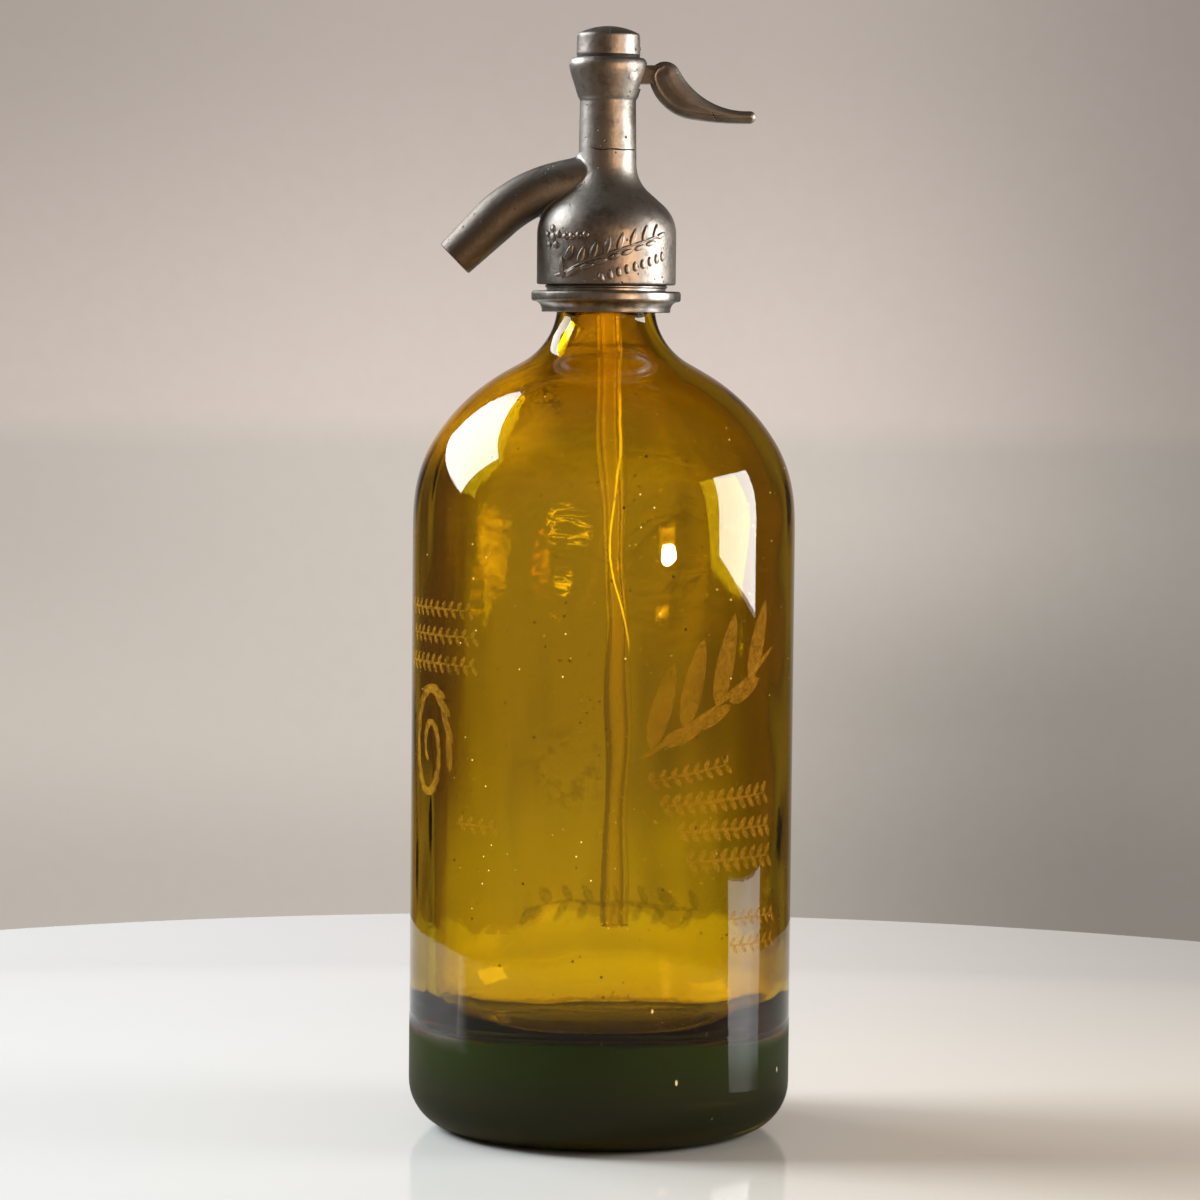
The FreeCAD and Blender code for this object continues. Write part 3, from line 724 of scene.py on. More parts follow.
def bentLimb(name, rootRadius, tipRadius, start, extra):
    size = spoutSize
    angleIn = math.radians(size["rootAngle"])
    angleOut = math.radians(size["tipAngle"])
    along = Vector((-math.cos(angleIn), 0, -math.sin(angleIn)))
    outward = Vector((-math.cos(angleOut), 0, -math.sin(angleOut)))
    below = Vector((math.sin(angleIn), 0, -math.cos(angleIn)))
    root = Vector((0, 0, size["axisHeight"]))
    bendStart = root + along * size["rootRun"]
    deselectAll()
    bpy.ops.mesh.primitive_circle_add(vertices=size["sides"], radius=rootRadius,
                                      location=root + along * start,
                                      rotation=along.to_track_quat("Z", "Y").to_euler())
    limb = named(name)
    bpy.ops.object.transform_apply(location=True, rotation=True)
    editMesh(limb)
    bpy.ops.mesh.select_all(action="SELECT")
    for _ in range(4):
        step = along * (size["rootRun"] - start) / 4
        bpy.ops.mesh.extrude_region_move(TRANSFORM_OT_translate={"value": step})
    bpy.ops.mesh.spin(steps=18, angle=math.radians(size["tipAngle"] - size["rootAngle"]),
                      center=bendStart + below * size["bend"], axis=(0, 1, 0))
    for _ in range(6):
        step = outward * (size["straight"] + extra) / 6
        bpy.ops.mesh.extrude_region_move(TRANSFORM_OT_translate={"value": step})
        grow = (tipRadius / rootRadius) ** (1 / 6)
        middle = selectedMiddle(limb)
        bpy.ops.transform.resize(value=(grow, grow, grow), center_override=middle)
    bpy.ops.mesh.select_all(action="SELECT")
    bpy.ops.mesh.fill_holes(sides=0)
    bpy.ops.mesh.normals_make_consistent(inside=False)
    closeEdit()
    return limb


def selectedMiddle(piece):
    bpy.ops.object.mode_set(mode="OBJECT")
    places = [vertex.co.copy() for vertex in piece.data.vertices if vertex.select]
    bpy.ops.object.mode_set(mode="EDIT")
    return sum(places, Vector()) / len(places)


def makeHead():
    size = headSize
    skin = Outline(0, size["bellBottom"]).line(size["bellRadius"] - 0.0003, size["bellBottom"], 12)
    skin.line(size["bellRadius"], size["bellBottom"] + 0.0003)
    skin.line(size["bellRadius"], size["bellTop"], 16)
    skin.bend(size["bellRound"], 0, size["flareAngle"], 14)
    flare = math.radians(size["flareAngle"])
    run = size["bellRadius"] - size["neckRadius"]
    run -= (size["bellRound"] + size["flareBlend"]) * (1 - math.cos(flare))
    skin.lean(run / math.sin(flare), size["flareAngle"], 3)
    skin.bend(size["flareBlend"], size["flareAngle"], 0, 14)
    skin.line(size["neckTopRadius"], size["crownBottom"], 14)
    for radius, height in crownOutline:
        skin.line(radius, height, 2)
    skin.line(0, size["crownTop"], 6)
    head = turned("headCasting", skin, 128)
    limb = bentLimb("limb", spoutSize["rootRadius"], spoutSize["tipRadius"], 0.003, 0)
    combine(head, limb, "UNION")
    applyModifier(head, "REMESH", mode="VOXEL", voxel_size=size["voxel"])
    filletRoot(head)
    combine(head, bentLimb("cutter", spoutSize["bore"], spoutSize["bore"], 0.006, 0.001), "DIFFERENCE")
    combine(head, plug(size["bellBore"], size["bellBottom"] - 0.001, size["face"]), "DIFFERENCE")
    combine(head, plug(size["cavity"], size["slotFloor"], size["threadFloor"]), "DIFFERENCE")
    combine(head, plug(size["capBore"], size["threadFloor"] - 0.00001, size["crownTop"] + 0.001),
            "DIFFERENCE")
    combine(head, block((0, -size["slotHalf"], size["slotFloor"]),
                        (0.0224, size["slotHalf"], size["slotRoof"])), "DIFFERENCE")
    smoothShade(head, 40)
    return head


def filletRoot(head):
    # soft fillet over the top of the spout's root, and a light softening everywhere
    corner = Vector(spoutSize["filletAt"])
    group = head.vertex_groups.new(name="fillet")
    for vertex in head.data.vertices:
        reach = (vertex.co - corner).length / spoutSize["fillet"]
        weight = max(0.0, 1 - reach ** 2)
        if weight > 0:
            group.add([vertex.index], weight, "REPLACE")
    applyModifier(head, "SMOOTH", factor=0.5, iterations=90, vertex_group="fillet")
    applyModifier(head, "SMOOTH", factor=0.5, iterations=2)
    head.vertex_groups.clear()


head = makeHead()
setFinish(head, finishes["cast_metal"])
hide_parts("head_casting", "spout")
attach(head, "root")
print("head made,", len(head.data.polygons), "faces")


# raised spray on the bell: the place of each leaf along the girth from the front, its height, length,
# width and slant, in millimetres and degrees; then beads, a lower row of small leaves, and the stem
sprayLeaves = [(-13.6, 248.6, 6.8, 2.5, 96), (-11.2, 252.8, 5.6, 2.2, 62), (-10.2, 247.4, 5.4, 2.0, 30),
               (-7.4, 251.8, 6.4, 2.2, 70), (-5.6, 248.9, 4.6, 1.8, 14), (-3.6, 253.2, 6.4, 2.2, 72),
               (-1.6, 250.3, 4.4, 1.8, 18), (0.2, 254.5, 6.2, 2.1, 74), (2.2, 251.7, 4.2, 1.7, 20),
               (4.0, 255.8, 6.0, 2.1, 74), (6.0, 253.0, 4.2, 1.7, 22), (7.8, 257.1, 5.8, 2.0, 74),
               (9.8, 254.3, 4.0, 1.6, 22), (11.6, 258.3, 5.6, 2.0, 74), (13.6, 255.6, 4.0, 1.6, 18),
               (15.4, 258.9, 5.0, 1.9, 70), (17.6, 257.9, 4.4, 1.7, 22)]
sprayBeads = [(-17.6, 257.0, 1.5), (-17.6, 259.6, 1.15), (-20.0, 257.8, 1.15), (-19.1, 254.9, 1.15),
              (-16.1, 254.9, 1.15), (-15.2, 257.8, 1.15), (-12.6, 257.2, 1.0), (-10.4, 257.4, 1.0),
              (-8.2, 257.6, 1.0), (-6.0, 257.8, 1.0)]
sprayDarts = [(-1.4 + 2.45 * index, 245.9 + 0.75 * index, 3.0, 1.7, 98) for index in range(9)]
sprayStem = [(-16.2, 246.2), (-12.5, 247.0), (-8.5, 249.3), (-4.0, 251.0), (0.0, 252.4), (4.0, 253.8),
             (8.0, 255.1), (12.0, 256.4), (16.0, 257.6)]
reliefHeight = 0.00062


def bellRadiusAt(height):
    above = height - headSize["bellTop"]
    if above <= 0:
        return headSize["bellRadius"]
    lean = math.asin(min(0.95, above / headSize["bellRound"]))
    return headSize["bellRadius"] - headSize["bellRound"] * (1 - math.cos(lean))


def wrapOn(piece, radiusAt):
    # flat relief in the XZ plane, raised towards -Y, laid round an upright wall
    for vertex in piece.data.vertices:
        girth, depth, height = vertex.co
        angle = girth / radiusAt(0)
        radius = radiusAt(height) - depth
        vertex.co = (radius * math.sin(angle), -radius * math.cos(angle), height)
    piece.data.update()


def leafShape(name, girth, height, length, width, slant, relief, rib=0.35, point=0.8, thickness=0.0004):
    deselectAll()
    bpy.ops.mesh.primitive_grid_add(x_subdivisions=10, y_subdivisions=6, size=2)
    leaf = named(name)
    for vertex in leaf.data.vertices:
        along, across, _ = vertex.co
        half = width / 2 * max(0.0, 1 - along ** 2) ** point * (1 - 0.2 * along)
        crown = math.sqrt(max(0.0, 1 - across ** 2)) * (1 - along ** 4)
        crown *= 1 - rib * math.exp(-(across / 0.3) ** 2)
        vertex.co = (along * length / 2, -crown * relief, across * half)
    angle = math.radians(slant)
    turn = Matrix.Rotation(-angle, 4, "Y")
    leaf.data.transform(Matrix.Translation((girth, 0, height)) @ turn)
    applyModifier(leaf, "SOLIDIFY", thickness=thickness, offset=-1.0)
    return leaf


def beadShape(name, girth, height, radius, thickness):
    deselectAll()
    bpy.ops.mesh.primitive_uv_sphere_add(segments=16, ring_count=10, radius=1,
                                         location=(girth, 0, height), scale=(radius, thickness, radius))
    bpy.ops.object.transform_apply(location=True, scale=True)
    return named(name)


def joined(name, parts):
    deselectAll()
    for part in parts:
        part.select_set(True)
    bpy.context.view_layer.objects.active = parts[0]
    bpy.ops.object.join()
    return named(name)


def strand(name, stops, radius):
    # a thin round rod along the stops, ends closed
    curve = bpy.data.curves.new(name, "CURVE")
    curve.dimensions = "3D"
    curve.bevel_depth = radius
    curve.bevel_resolution = 3
    curve.resolution_u = 6
    curve.use_fill_caps = True
    line = curve.splines.new("NURBS")
    line.points.add(len(stops) - 1)
    for point, stop in zip(line.points, stops):
        point.co = (*stop, 1)
    line.order_u = 3
    line.use_endpoint_u = True
    rod = bpy.data.objects.new(name, curve)
    bpy.context.scene.collection.objects.link(rod)
    pick(rod)
    bpy.ops.object.convert(target="MESH")
    rod = named(name)
    editMesh(rod)
    bpy.ops.mesh.select_all(action="SELECT")
    bpy.ops.mesh.remove_doubles(threshold=1e-6)
    bpy.ops.mesh.normals_make_consistent(inside=False)
    closeEdit()
    return rod


def makeSpray():
    mm = 0.001
    parts = []
    for girth, height, length, width, slant in sprayLeaves:
        parts.append(leafShape("leaf", girth * mm, height * mm, length * mm, width * mm, slant,
                               reliefHeight))
    for girth, height, length, width, slant in sprayDarts:
        parts.append(leafShape("dart", girth * mm, height * mm, length * mm, width * mm, slant,
                               reliefHeight * 0.8, 0.0, 0.5))
    for girth, height, radius in sprayBeads:
        parts.append(beadShape("bead", girth * mm, height * mm, radius * mm, reliefHeight * 0.9))
    parts.append(strand("stem", [(girth * mm, 0, height * mm) for girth, height in sprayStem], 0.00042))
    spray = joined("leafSpray", parts)
    wrapOn(spray, bellRadiusAt)
    smoothShade(spray, 60)
    return spray


spray = makeSpray()
setFinish(spray, finishes["cast_metal"])
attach(spray, "root")
print("leaf spray made,", len(spray.data.polygons), "faces")


capSize = {"bottom": 0.30937, "radius": 0.00915, "taper": 0.00012, "side": 0.0054, "round": 0.0011,
           "edge": 0.00035, "bandTaper": 0.00004, "band": 0.0016, "dome": 0.0019, "roof": 0.0028,
           "threadRadius": 0.0073, "threadBottom": 0.30577, "bore": 0.0046, "nib": 0.00042,
           "nibProud": 0.00035, "nibSink": 0.0001, "nibSide": -0.0012, "nibHeight": 0.3113}


def makeCap():
    size = capSize
    rim = size["bottom"] + size["side"]
    top = rim + size["round"] + size["dome"]
    skin = Outline(0, top - size["roof"]).line(size["bore"], top - size["roof"], 3)
    skin.line(size["bore"], size["threadBottom"]).line(size["threadRadius"], size["threadBottom"])
    skin.line(size["threadRadius"], size["bottom"])
    skin.line(size["radius"] - size["edge"], size["bottom"]).bend(size["edge"], -90, 0, 4)
    skin.line(size["radius"] - size["bandTaper"], size["bottom"] + size["band"], 2)
    skin.line(size["radius"] - size["taper"], rim, 5)
    skin.bend(size["round"], 0, 62, 7)
    skin.dome(top, 10)
    cap = turned("capShell", skin, 112)
    nib = beadShape("nib", 0.0, 0.0, size["nib"], size["nibProud"])
    nibPlace = (size["radius"] - size["nibSink"], size["nibSide"], size["nibHeight"])
    nib.data.transform(Matrix.Translation(nibPlace))
    cap = joined("capShell", [cap, nib])
    smoothShade(cap, 40)
    return cap


cap = makeCap()
setFinish(cap, finishes["cast_metal"])
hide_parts("cap")
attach(cap, "root")


collarSize = {"hole": 0.0147, "inner": 0.01595, "coveBottom": 0.0185, "flange": 0.0215, "round": 0.0008,
              "flangeLift": 0.0015, "flangeThickness": 0.003, "relief": 0.0171, "ridge": 0.01758,
              "edge": 0.0003, "chamfer": 0.0002, "threadStart": 0.0007, "pitch": 0.00165, "turns": 5,
              "thread": [("relief", 0.0), ("ridge", 0.00045), ("ridge", 0.00065), ("relief", 0.0011)]}


def makeCollar():
    low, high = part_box("neck_collar")
    size = collarSize
    edge, chamfer = size["edge"], size["chamfer"]
    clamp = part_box("clamp_half_front")[0].z
    skin = Outline(size["hole"], low.z)
    skin.line(size["coveBottom"] - edge, low.z, 2).bend(edge, -90, 0, 3)
    flangeTop = clamp + size["flangeLift"]
    coveTop = flangeTop - size["flangeThickness"]
    start = skin.stops[-1]
    for step in range(1, 9):
        angle = step / 8 * math.pi / 2
        radius = start[0] + (size["flange"] - size["round"] - start[0]) * (1 - math.cos(angle))
        height = start[1] + (coveTop - start[1]) * math.sin(angle) ** 0.9
        skin.stops.append((radius, height))
    skin.bend(size["round"], -90, 0, 5)
    skin.line(size["flange"], flangeTop - size["round"], 2).bend(size["round"], 0, 90, 5)
    skin.line(size["relief"] + chamfer, flangeTop, 3).line(size["relief"], flangeTop + chamfer)
    for turn in range(size["turns"]):
        foot = flangeTop + size["threadStart"] + turn * size["pitch"]
        for face, lift in size["thread"]:
            skin.line(size[face], foot + lift)
    skin.line(size["relief"], high.z - chamfer).line(size["relief"] - chamfer, high.z)
    skin.line(size["inner"], high.z).line(size["inner"], clamp).line(size["hole"], clamp)
    skin.line(size["hole"], low.z, 3)
    collar = turned("neckCollar", skin, 144)
    smoothShade(collar, 35)
    return collar


collar = makeCollar()
setFinish(collar, finishes["collar_metal"])
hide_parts("neck_collar")
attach(collar, "root")
print("cap and collar made")


leverSize = {"pin": (0.0072, 0.303167), "lobeOffset": 0.00905, "lobe": 0.00455, "reach": 0.0352,
             "tip": 0.00173, "tipDrop": 0.0111, "keel": 0.0924, "keelSetback": 0.0023, "belly": 0.0147,
             "hollow": 0.022, "thickness": 0.008, "tongueHalf": 0.0031, "tongueStart": 0.0022,
             "tongueRise": 0.0034, "tongueFall": 0.0018, "hub": 0.0022, "toe": 0.0016,
             "toeDrop": 0.0006, "armRelief": 0.0012, "pinHole": 0.0013, "notch": 0.0022,
             "notchReach": 0.0035, "notchDrop": 0.0045, "voxel": 0.00022}


def meeting(first, firstReach, second, secondReach, side):
    # the point at the given reaches from two centres, on one side of the line between them
    between = second - first
    along = (firstReach ** 2 - secondReach ** 2 + between.length ** 2) / (2 * between.length)
    across = math.sqrt(firstReach ** 2 - along ** 2)
    unit = between.normalized()
    return first + unit * along + Vector((-unit.y, unit.x)) * side * across


def bladeArcs(inset):
    # belly, keel, tip, hollow and lobe: tangent arcs round the comma-shaped blade, each as its centre,
    # radius, first angle and swing
    size = leverSize
    pin = Vector(size["pin"])
    lobe = pin + Vector((size["lobeOffset"], 0))
    tip = pin + Vector((size["reach"] - size["tip"], -size["tipDrop"]))
    rise = math.sqrt((size["keel"] - size["tip"]) ** 2 - size["keelSetback"] ** 2)
    keel = tip + Vector((-size["keelSetback"], rise))
    belly = meeting(lobe, size["belly"] - size["lobe"], keel, size["keel"] - size["belly"], -1)
    hollow = meeting(lobe, size["hollow"] + size["lobe"], tip, size["hollow"] + size["tip"], 1)

    def touch(centre, radius, other):
        return centre + (other - centre).normalized() * (radius - inset)

    starts = [touch(belly, size["belly"], lobe), touch(keel, size["keel"], belly),
              touch(keel, size["keel"], tip), touch(tip, size["tip"], hollow),
              touch(lobe, size["lobe"], hollow)]
    arcs = []
    for index, (centre, sense) in enumerate([(belly, 1), (keel, 1), (tip, 1), (hollow, -1), (lobe, 1)]):
        start = starts[index] - centre
        end = starts[(index + 1) % 5] - centre
        angle = math.atan2(start.y, start.x)
        swing = (math.atan2(end.y, end.x) - angle) * sense % (2 * math.pi) * sense
        arcs.append((centre, start.length, angle, swing))
    return arcs


def arcStops(arc, spacing, low=0.0, high=1.0):
    centre, radius, angle, swing = arc
    count = max(3, round(abs(swing) * radius * (high - low) / spacing))
    stops = []
    for step in range(count):
        at = angle + swing * (low + (high - low) * step / count)
        stops.append((centre.x + radius * math.cos(at), centre.y + radius * math.sin(at)))
    return stops


def plate(name, stops, thickness):
    # a disc laid out to the stops and extruded to its thickness
    deselectAll()
    bpy.ops.mesh.primitive_circle_add(vertices=len(stops), radius=0.01, fill_type="NGON")
    piece = named(name)
    for vertex, (x, z) in zip(piece.data.vertices, stops):
        vertex.co = (x, -thickness / 2, z)
    editMesh(piece)
    bpy.ops.mesh.select_all(action="SELECT")
    bpy.ops.mesh.extrude_region_move(TRANSFORM_OT_translate={"value": (0, thickness, 0)})
    bpy.ops.mesh.select_all(action="SELECT")
    bpy.ops.mesh.normals_make_consistent(inside=False)
    closeEdit()
    return piece


def crossRod(radius, length, x, z):
    deselectAll()
    bpy.ops.mesh.primitive_cylinder_add(vertices=48, radius=radius, depth=length, location=(x, 0, z),
                                        rotation=(math.pi / 2, 0, 0))
    bpy.ops.object.transform_apply(location=True, rotation=True)
    return named("rod")


def ramp(value, low, high):
    share = min(1.0, max(0.0, (value - low) / (high - low)))
    return share * share * (3 - 2 * share)


def halfThickness(x, keelGap, hollowGap):
    # inwards from the keel a plain band, a raised bead and a domed face; the hollow side rounds over
    fade = 1 - ramp(x, 0.031, 0.039)
    keelSide = 0.0021 + 0.0009 * math.sqrt(min(1.0, keelGap / 0.0006))
    keelSide += 0.00035 * ramp(keelGap, 0.0010, 0.0016) + 0.00055 * ramp(keelGap, 0.0018, 0.0048)
    keelSide += 0.00034 * fade * math.exp(-((keelGap - 0.0014) / 0.00032) ** 2)
    hollowSide = 0.0022 + 0.0011 * math.sqrt(min(1.0, hollowGap / 0.0012))
    hollowSide += 0.0006 * ramp(hollowGap, 0.0006, 0.0036)
    return min(keelSide, hollowSide)


def gapTree(stops):
    tree = kdtree.KDTree(len(stops))
    for index, (x, z) in enumerate(stops):
        tree.insert((x, 0, z), index)
    tree.balance()
    return tree


def sculptFaces(lever):
    belly, keel, tip, hollow, lobe = bladeArcs(0)
    spacing = 0.0001
    keelSide = gapTree(arcStops(lobe, spacing, 0.5, 1.0) + arcStops(belly, spacing)
                       + arcStops(keel, spacing))
    hollowSide = gapTree(arcStops(tip, spacing) + arcStops(hollow, spacing)
                         + arcStops(lobe, spacing, 0, 0.5))
    for vertex in lever.data.vertices:
        x, y, z = vertex.co
        half = halfThickness(x, keelSide.find((x, 0, z))[2], hollowSide.find((x, 0, z))[2])
        vertex.co.y = y * half / (leverSize["thickness"] / 2)
    lever.data.update()


def makeLever():
    size = leverSize
    pinX, pinZ = size["pin"]
    outer = [stop for arc in bladeArcs(0) for stop in arcStops(arc, 0.0003)]
    lever = plate("thumbLever", outer, size["thickness"])
    applyModifier(lever, "REMESH", mode="VOXEL", voxel_size=size["voxel"])
    sculptFaces(lever)
    applyModifier(lever, "SMOOTH", factor=0.5, iterations=4)
    half = size["tongueHalf"]
    lobeX = pinX + size["lobeOffset"]
    combine(lever, block((pinX + size["tongueStart"], -half, pinZ - size["tongueFall"]),
                         (lobeX, half, pinZ + size["tongueRise"])), "UNION")
    fork = block((0, -half, pinZ - size["toeDrop"] - size["toe"]),
                 (pinX, half, pinZ - size["toeDrop"] + size["toe"] - size["armRelief"]))
    combine(fork, block((pinX - 0.001, -half, pinZ - size["tongueFall"]),
                        (lobeX, half, pinZ + size["tongueFall"])), "UNION")
    combine(fork, crossRod(size["hub"], 2 * half, pinX, pinZ), "UNION")
    combine(fork, crossRod(size["toe"], 2 * half, 0, pinZ - size["toeDrop"]), "UNION")
    combine(lever, fork, "UNION")
    reach = size["notchReach"]
    combine(lever, block((-reach, -size["notch"], pinZ - size["notchDrop"]),
                         (reach, size["notch"], pinZ + size["hub"])), "DIFFERENCE")
    combine(lever, crossRod(size["pinHole"], 4 * half, pinX, pinZ), "DIFFERENCE")
    smoothShade(lever, 45)
    return lever


lever = makeLever()
setFinish(lever, finishes["lever_metal"])
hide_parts("lever")
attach(lever, "lever")
print("lever made,", len(lever.data.polygons), "faces")


# marks etched on the glass: place along the girth from the front, height, length, width and slant, in
# millimetres and degrees
etchedLeaves = [(17.0, 127.0, 25.0, 6.0, 74), (23.0, 118.5, 13.0, 4.6, 20),
                (26.6, 133.0, 26.0, 6.2, 76), (33.0, 123.5, 14.0, 4.6, 24),
                (37.4, 139.0, 27.0, 6.2, 76), (45.0, 130.5, 14.0, 4.8, 26),
                (50.5, 144.0, 24.0, 6.0, 72)]
etchedStem = [(12.0, 113.0), (22.0, 119.0), (34.0, 126.5), (46.0, 134.0), (58.0, 142.0)]
# garlands: girth, height, climb, number of leaf pairs, pitch and size
etchedRows = [(14.0, 106.0, 0.16, 8, 3.4, 5.2), (18.0, 99.0, 0.05, 11, 3.6, 6.4),
              (23.0, 91.5, 0.0, 10, 3.6, 6.0), (26.0, 83.0, 0.0, 9, 3.8, 6.6),
              (41.0, 66.0, 0.0, 6, 3.6, 4.6), (41.0, 58.5, 0.0, 6, 3.6, 4.6),
              (-74.0, 152.0, 0.0, 10, 3.6, 4.8),
              (-72.0, 144.5, 0.0, 10, 3.6, 4.8), (-76.0, 136.5, 0.0, 11, 3.6, 5.2),
              (-44.0, 92.0, 0.0, 4, 3.8, 4.6)]
etchedScroll = {"girth": -60.0, "height": 112.0, "size": 15.0, "turns": 1.6, "leaves": 26}
backRow = (142.0, 58.0, 0.0, 7, 8.6, 11.0)
markThickness = 0.00003
markProud = 0.00006


def flatMark(girth, height, length, width, slant):
    mm = 0.001
    return leafShape("mark", girth * mm, height * mm, length * mm, width * mm, slant,
                     relief=0.0, rib=0.0, point=0.6, thickness=markThickness)


def markRow(girth, height, climb, count, pitch, size):
    # a garland: slanted leaves on both sides of a thin stem
    reach = pitch * (count - 1)
    slant = math.degrees(math.atan(climb))
    marks = [flatMark(girth + reach / 2, height + climb * reach / 2, reach + pitch, 0.16 * size, slant)]
    for index in range(count):
        along = girth + pitch * index
        up = height + climb * pitch * index
        for side, shift in [(1, 0.0), (-1, 0.3)]:
            marks.append(flatMark(along + shift * pitch, up + side * 0.27 * size, 0.62 * size,
                                  0.30 * size, slant + side * 52))
    return marks


def scrollMarks(girth, height, size, turns, leaves):
    # short leaves set head to tail round a spiral
    marks = []
    for index in range(leaves):
        share = index / (leaves - 1)
        angle = 2 * math.pi * turns * share
        reach = size * (1 - 0.8 * share)
        across = girth + 0.7 * reach * math.cos(angle)
        up = height + 1.3 * reach * math.sin(angle)
        marks.append(flatMark(across, up, reach * 0.75 + 1.0, 2.4 * (1 - 0.5 * share) + 0.4,
                              math.degrees(angle) + 96))
    return marks


def etchedPiece(name, marks, finish):
    piece = joined(name, marks)
    wrapOn(piece, lambda height: bottleSize["radius"] + markProud)
    setFinish(piece, finishes[finish])
    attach(piece, "root")
    return piece


marks = [flatMark(*leaf) for leaf in etchedLeaves]
for row in etchedRows:
    marks += markRow(*row)
for (girth, height), (nextGirth, nextHeight) in zip(etchedStem, etchedStem[1:]):
    slant = math.degrees(math.atan2(nextHeight - height, nextGirth - girth))
    marks.append(flatMark((girth + nextGirth) / 2, (height + nextHeight) / 2, 15.0, 1.6, slant))
marks += scrollMarks(**etchedScroll)
etched = etchedPiece("etchedMarks", marks, "etched")
# the far-side marks take the darker, painted-shade copy of the etched finish
etchedPiece("etchedBackMarks", markRow(*backRow), "shadedEtchedBack")
print("etched marks made,", len(etched.data.polygons), "faces")


tableSize = {"radius": 0.435, "middle": 0.037, "thickness": 0.028}
# the left, right and near tints are painted light and shade on the table
tableLook = {"left": (0.84, 0.88, 0.91), "right": (0.69, 0.675, 0.64), "nearLeftShade": (0.83, 0.82, 0.795),
             "nearRightWarmShade": (0.98, 0.91, 0.83), "mirroredShade": (0.09, 0.085, 0.07),
             "mirroredShadeFar": (0.15, 0.11, 0.06), "roughness": 0.07}


def makeTable():
    size, look = tableSize, tableLook
    deselectAll()
    bpy.ops.mesh.primitive_cylinder_add(vertices=256, radius=size["radius"], depth=size["thickness"],
                                        location=(0, size["middle"], -size["thickness"] / 2))
    table = named("table")
    bpy.ops.object.transform_apply(location=True)
    applyModifier(table, "BEVEL", width=0.004, segments=4, angle_limit=math.radians(40))
    smoothShade(table, 40)
    finish = newFinish("whiteTable")
    rise, blend = finish.rise, finish.blend
    x, y, _ = finish.axes()
    away = x * x + y * y
    # painted light and shade: lighter and cooler at the left where the window's light falls, darker and
    # warmer to the right, darker towards the front and warmer at the front right
    color = blend(rise(x, -0.22, 0.40), look["left"], look["right"])
    near = blend(rise(x, -0.05, 0.12), look["nearLeftShade"], look["nearRightWarmShade"])
    near = blend(rise(y, -0.02, 0.42), near, (1.0, 1.0, 1.0))
    color = finish.node("ShaderNodeVectorMath", {"operation": "MULTIPLY"}, {0: color, 1: near})
    # painted shade in reflections: seen mirrored in glass and metal, the table round the bottle turns
    # dark, standing in for the room's dark side
    around = finish.node("ShaderNodeMath", {"operation": "MAXIMUM"},
                         {0: rise(away, 0.062, 0.038), 1: rise(y, 0.0, -0.06)})
    glossy = finish.node("ShaderNodeLightPath", output="Is Glossy Ray")
    inside = finish.node("ShaderNodeLightPath", output="Transmission Depth")
    mirroredShade = glossy * around * rise(inside, 0.0, 1.0, 1, 0)
    dark = blend(rise(away, 0.062, 0.12), look["mirroredShade"], look["mirroredShadeFar"])
    roughness = look["roughness"] + finish.grain(9, 4, 0.6) * 0.06 + mirroredShade * 0.85
    finish.finished({"Base Color": blend(mirroredShade, color, dark), "Roughness": roughness, "IOR": 1.5})
    setFinish(table, finish.owner)


# the back wall's two tones split at a painted shade line, with painted shade towards the top and the
# sides, and what the room shows in reflections, through glass and as plain light
roomLook = {"wallLow": (1.0, 0.905, 0.80), "wallHigh": (1.0, 0.86, 0.77), "plaster": (1.4, 1.4, 1.4),
            "side": (0.078, 0.053, 0.030), "near": (0.160, 0.103, 0.070),
            "above": (0.060, 0.050, 0.038), "aboveBack": (0.025, 0.016, 0.008),
            "through": (0.13, 0.092, 0.055), "plain": (0.26, 0.225, 0.19)}


def makeWorld():
    world = bpy.data.worlds.new("room")
    bpy.context.scene.world = world
    finish = Finish(world)
    rise, blend, look = finish.rise, finish.blend, roomLook
    x, y, z = finish.axes("Generated")
    spot = finish.node("ShaderNodeTexCoord", output="Generated")
    plaster = finish.node("ShaderNodeTexNoise", sockets={"Vector": spot, "Scale": 260.0, "Detail": 4.0})
    # painted light and shade on the back wall: darker in a band below a shade line, darker towards the
    # top, the left and the right
    deep = rise(z, -0.04, -0.09)
    upper = rise(z, -0.030, -0.020)
    tall = rise(z, -0.03, 0.075, 0.70, 0.48)
    short = rise(z, -0.125, -0.09, 0.53, 0.615)
    level = short + (tall - short) * upper
    rightShade = rise(x, 0.03, 0.15, 0, 1) * rise(z, -0.01, 0.07, 0.48, 0.36)
    deepShade = rise(x, -0.03, 0.12, 0, 0.54)
    leftShade = rise(x, -0.03, -0.16) * (0.18 - deep * 0.11)
    level = level * (1 - leftShade) * (1 - rightShade - (deepShade - rightShade) * deep)
    tint = blend(upper, look["wallLow"], look["wallHigh"])
    tint = blend(rise(plaster, 0.3, 0.7, 0, 0.03), tint, look["plaster"])
    wall = finish.node("ShaderNodeVectorMath", {"operation": "SCALE"}, {0: tint, "Scale": level})
    above = rise(z, 0.30, 0.75)
    room = blend(rise(y, 0.99, 0.88), wall, look["side"])
    room = blend(rise(y, 0.1, -0.7), room, look["near"])
    room = blend(above, room, look["above"])
    room = blend(above * rise(y, 0.1, 0.4), room, look["aboveBack"])
    through = blend(rise(y, 0.92, 0.68), wall, look["through"])
    ray = [finish.node("ShaderNodeLightPath", output="Is " + kind + " Ray")
           for kind in ("Camera", "Glossy", "Transmission")]
    color = blend(ray[1], look["plain"], room)
    color = blend(ray[2], color, through)
    color = blend(ray[0], color, wall)
    shade = finish.node("ShaderNodeBackground", sockets={"Color": color, "Strength": 1.0})
    finish.node("ShaderNodeOutputWorld", sockets={"Surface": shade})


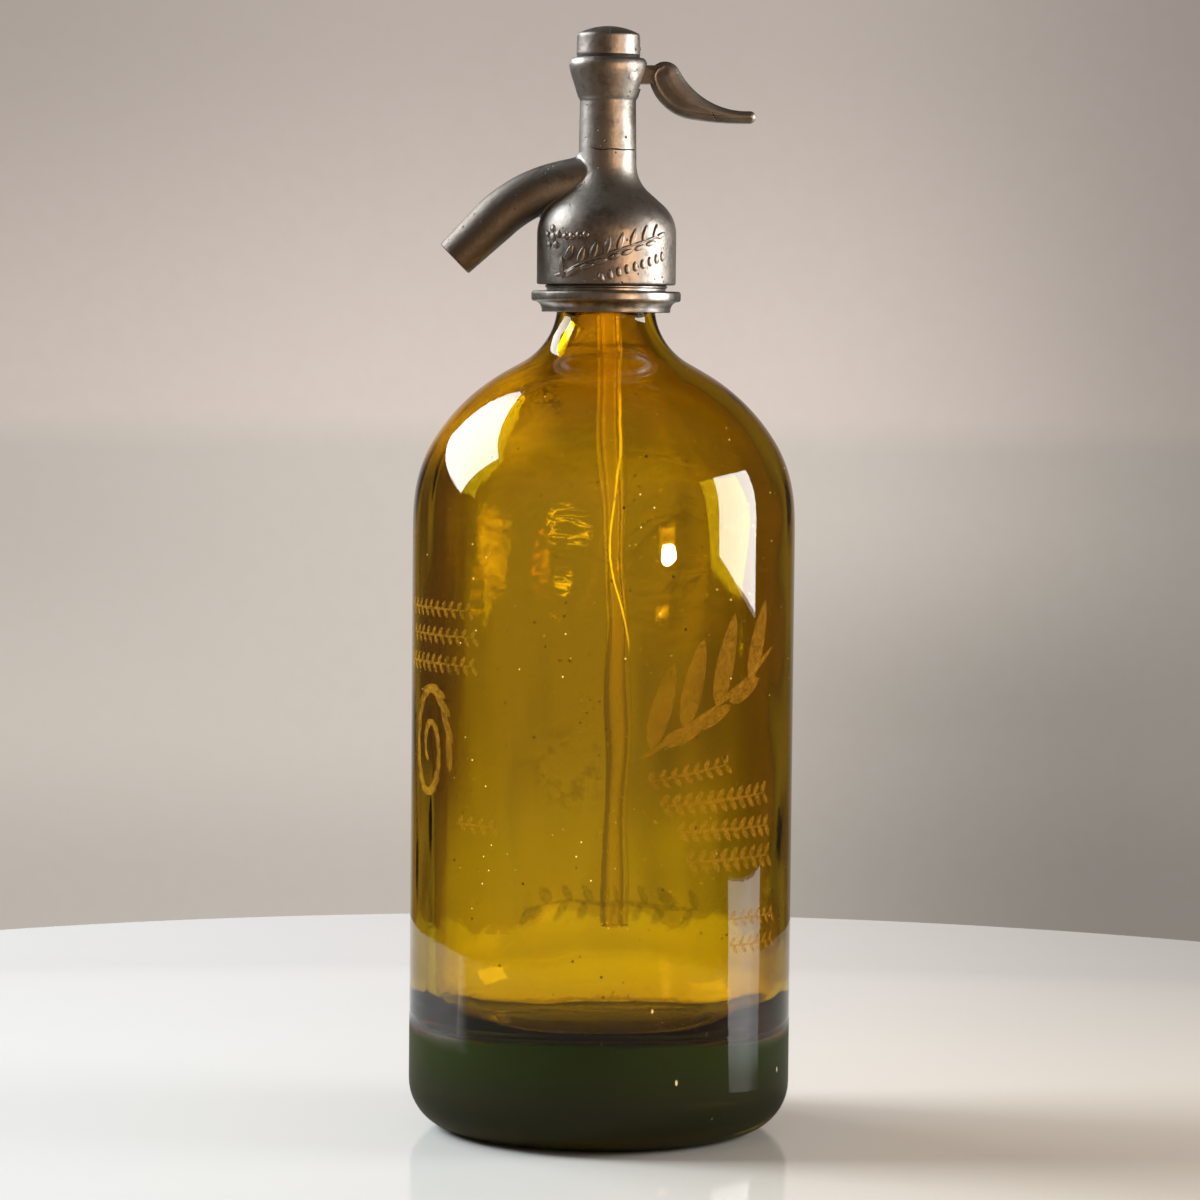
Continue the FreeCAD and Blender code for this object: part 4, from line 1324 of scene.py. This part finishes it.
def addLamp(name, place, target, size, power, color, roll=0, shiny=True, shape="RECTANGLE"):
    deselectAll()
    bpy.ops.object.light_add(type="AREA", location=place)
    lamp = bpy.context.object
    lamp.name = name
    lamp.data.shape = shape
    lamp.data.size = size[0]
    lamp.data.size_y = size[1]
    lamp.data.energy = power
    lamp.data.color = color
    aim = Vector(target) - Vector(place)
    turn = aim.to_track_quat("-Z", "Y") @ Quaternion((0, 0, 1), math.radians(roll))
    lamp.rotation_euler = turn.to_euler()
    lamp.visible_camera = False
    lamp.visible_glossy = shiny
    lamp.visible_transmission = shiny


# the bright window lying mirrored in the table top, seen only in reflections
glowPanel = {"corners": [(0.115, -0.047, 0.003), (0.64, -0.115, 0.003), (0.115, -0.004, 0.003),
                         (0.64, 0.213, 0.003)],
             "near": (0.30, 0.31, 0.33), "far": (0.54, 0.53, 0.52), "edge": (0.02, 0.02, 0.02),
             "strength": 3.6}


def makeGlow():
    deselectAll()
    bpy.ops.mesh.primitive_plane_add(size=1)
    glow = named("tableGlow")
    for vertex, corner in zip(glow.data.vertices, glowPanel["corners"]):
        vertex.co = corner
    finish = newFinish("tableGlow")
    x, _, _ = finish.axes()
    under = finish.node("ShaderNodeNewGeometry", output="Backfacing")
    color = finish.blend(finish.rise(x, 0.20, 0.55), glowPanel["near"], glowPanel["far"])
    color = finish.blend(finish.rise(x, 0.125, 0.215, 1, 0), color, glowPanel["edge"])
    finish.finished({"Base Color": (0, 0, 0, 1), "Emission Color": color,
                     "Emission Strength": glowPanel["strength"], "Alpha": 1 - under})
    setFinish(glow, finish.owner)
    glow.visible_camera = False
    glow.visible_diffuse = False
    glow.visible_transmission = False
    glow.visible_shadow = False


lamps = {"leftWindow": {"place": (-0.85, 0.355, 0.754), "target": (0, 0, 0.15), "size": (0.93, 0.62),
                        "power": 13.2, "color": (0.97, 0.98, 1.0), "roll": -18},
         "leftFill": {"place": (-1.85, 0.25, 1.4), "target": (0, 0.15, 0), "size": (0.9, 0.9),
                      "power": 54.0, "color": (0.93, 0.98, 1.0), "shiny": False},
         "rightWindow": {"place": (0.85, -0.048, 0.335), "target": (0, 0, 0.335), "size": (0.46, 0.45),
                         "power": 6.8, "color": (1, 0.96, 0.91), "roll": -4},
         "warmLamp": {"place": (1.245, -1.565, 0.0835), "target": (0, 0, 0.20), "size": (0.30, 0.026),
                      "power": 12.4, "color": (1, 0.60, 0.33), "shape": "ELLIPSE"}}
view = {"lens": 135.0, "place": (-0.0009, -1.297, 0.2337), "down": 3.5605, "roll": 0.556}


def addCamera():
    deselectAll()
    bpy.ops.object.camera_add(location=view["place"])
    camera = bpy.context.object
    camera.data.lens = view["lens"]
    camera.data.sensor_width = 36.0
    camera.data.clip_start = 0.01
    tilt = Matrix.Rotation(math.radians(90 - view["down"]), 4, "X")
    roll = Matrix.Rotation(math.radians(view["roll"]), 4, "Z")
    camera.matrix_world = Matrix.Translation(view["place"]) @ tilt @ roll
    bpy.context.scene.camera = camera


makeTable()
makeWorld()
makeGlow()
for lampName, facts in lamps.items():
    addLamp(lampName, **facts)
addCamera()
bpy.context.scene.view_settings.view_transform = "Standard"
print("table, light and camera set")

bpy.context.view_layer.update()
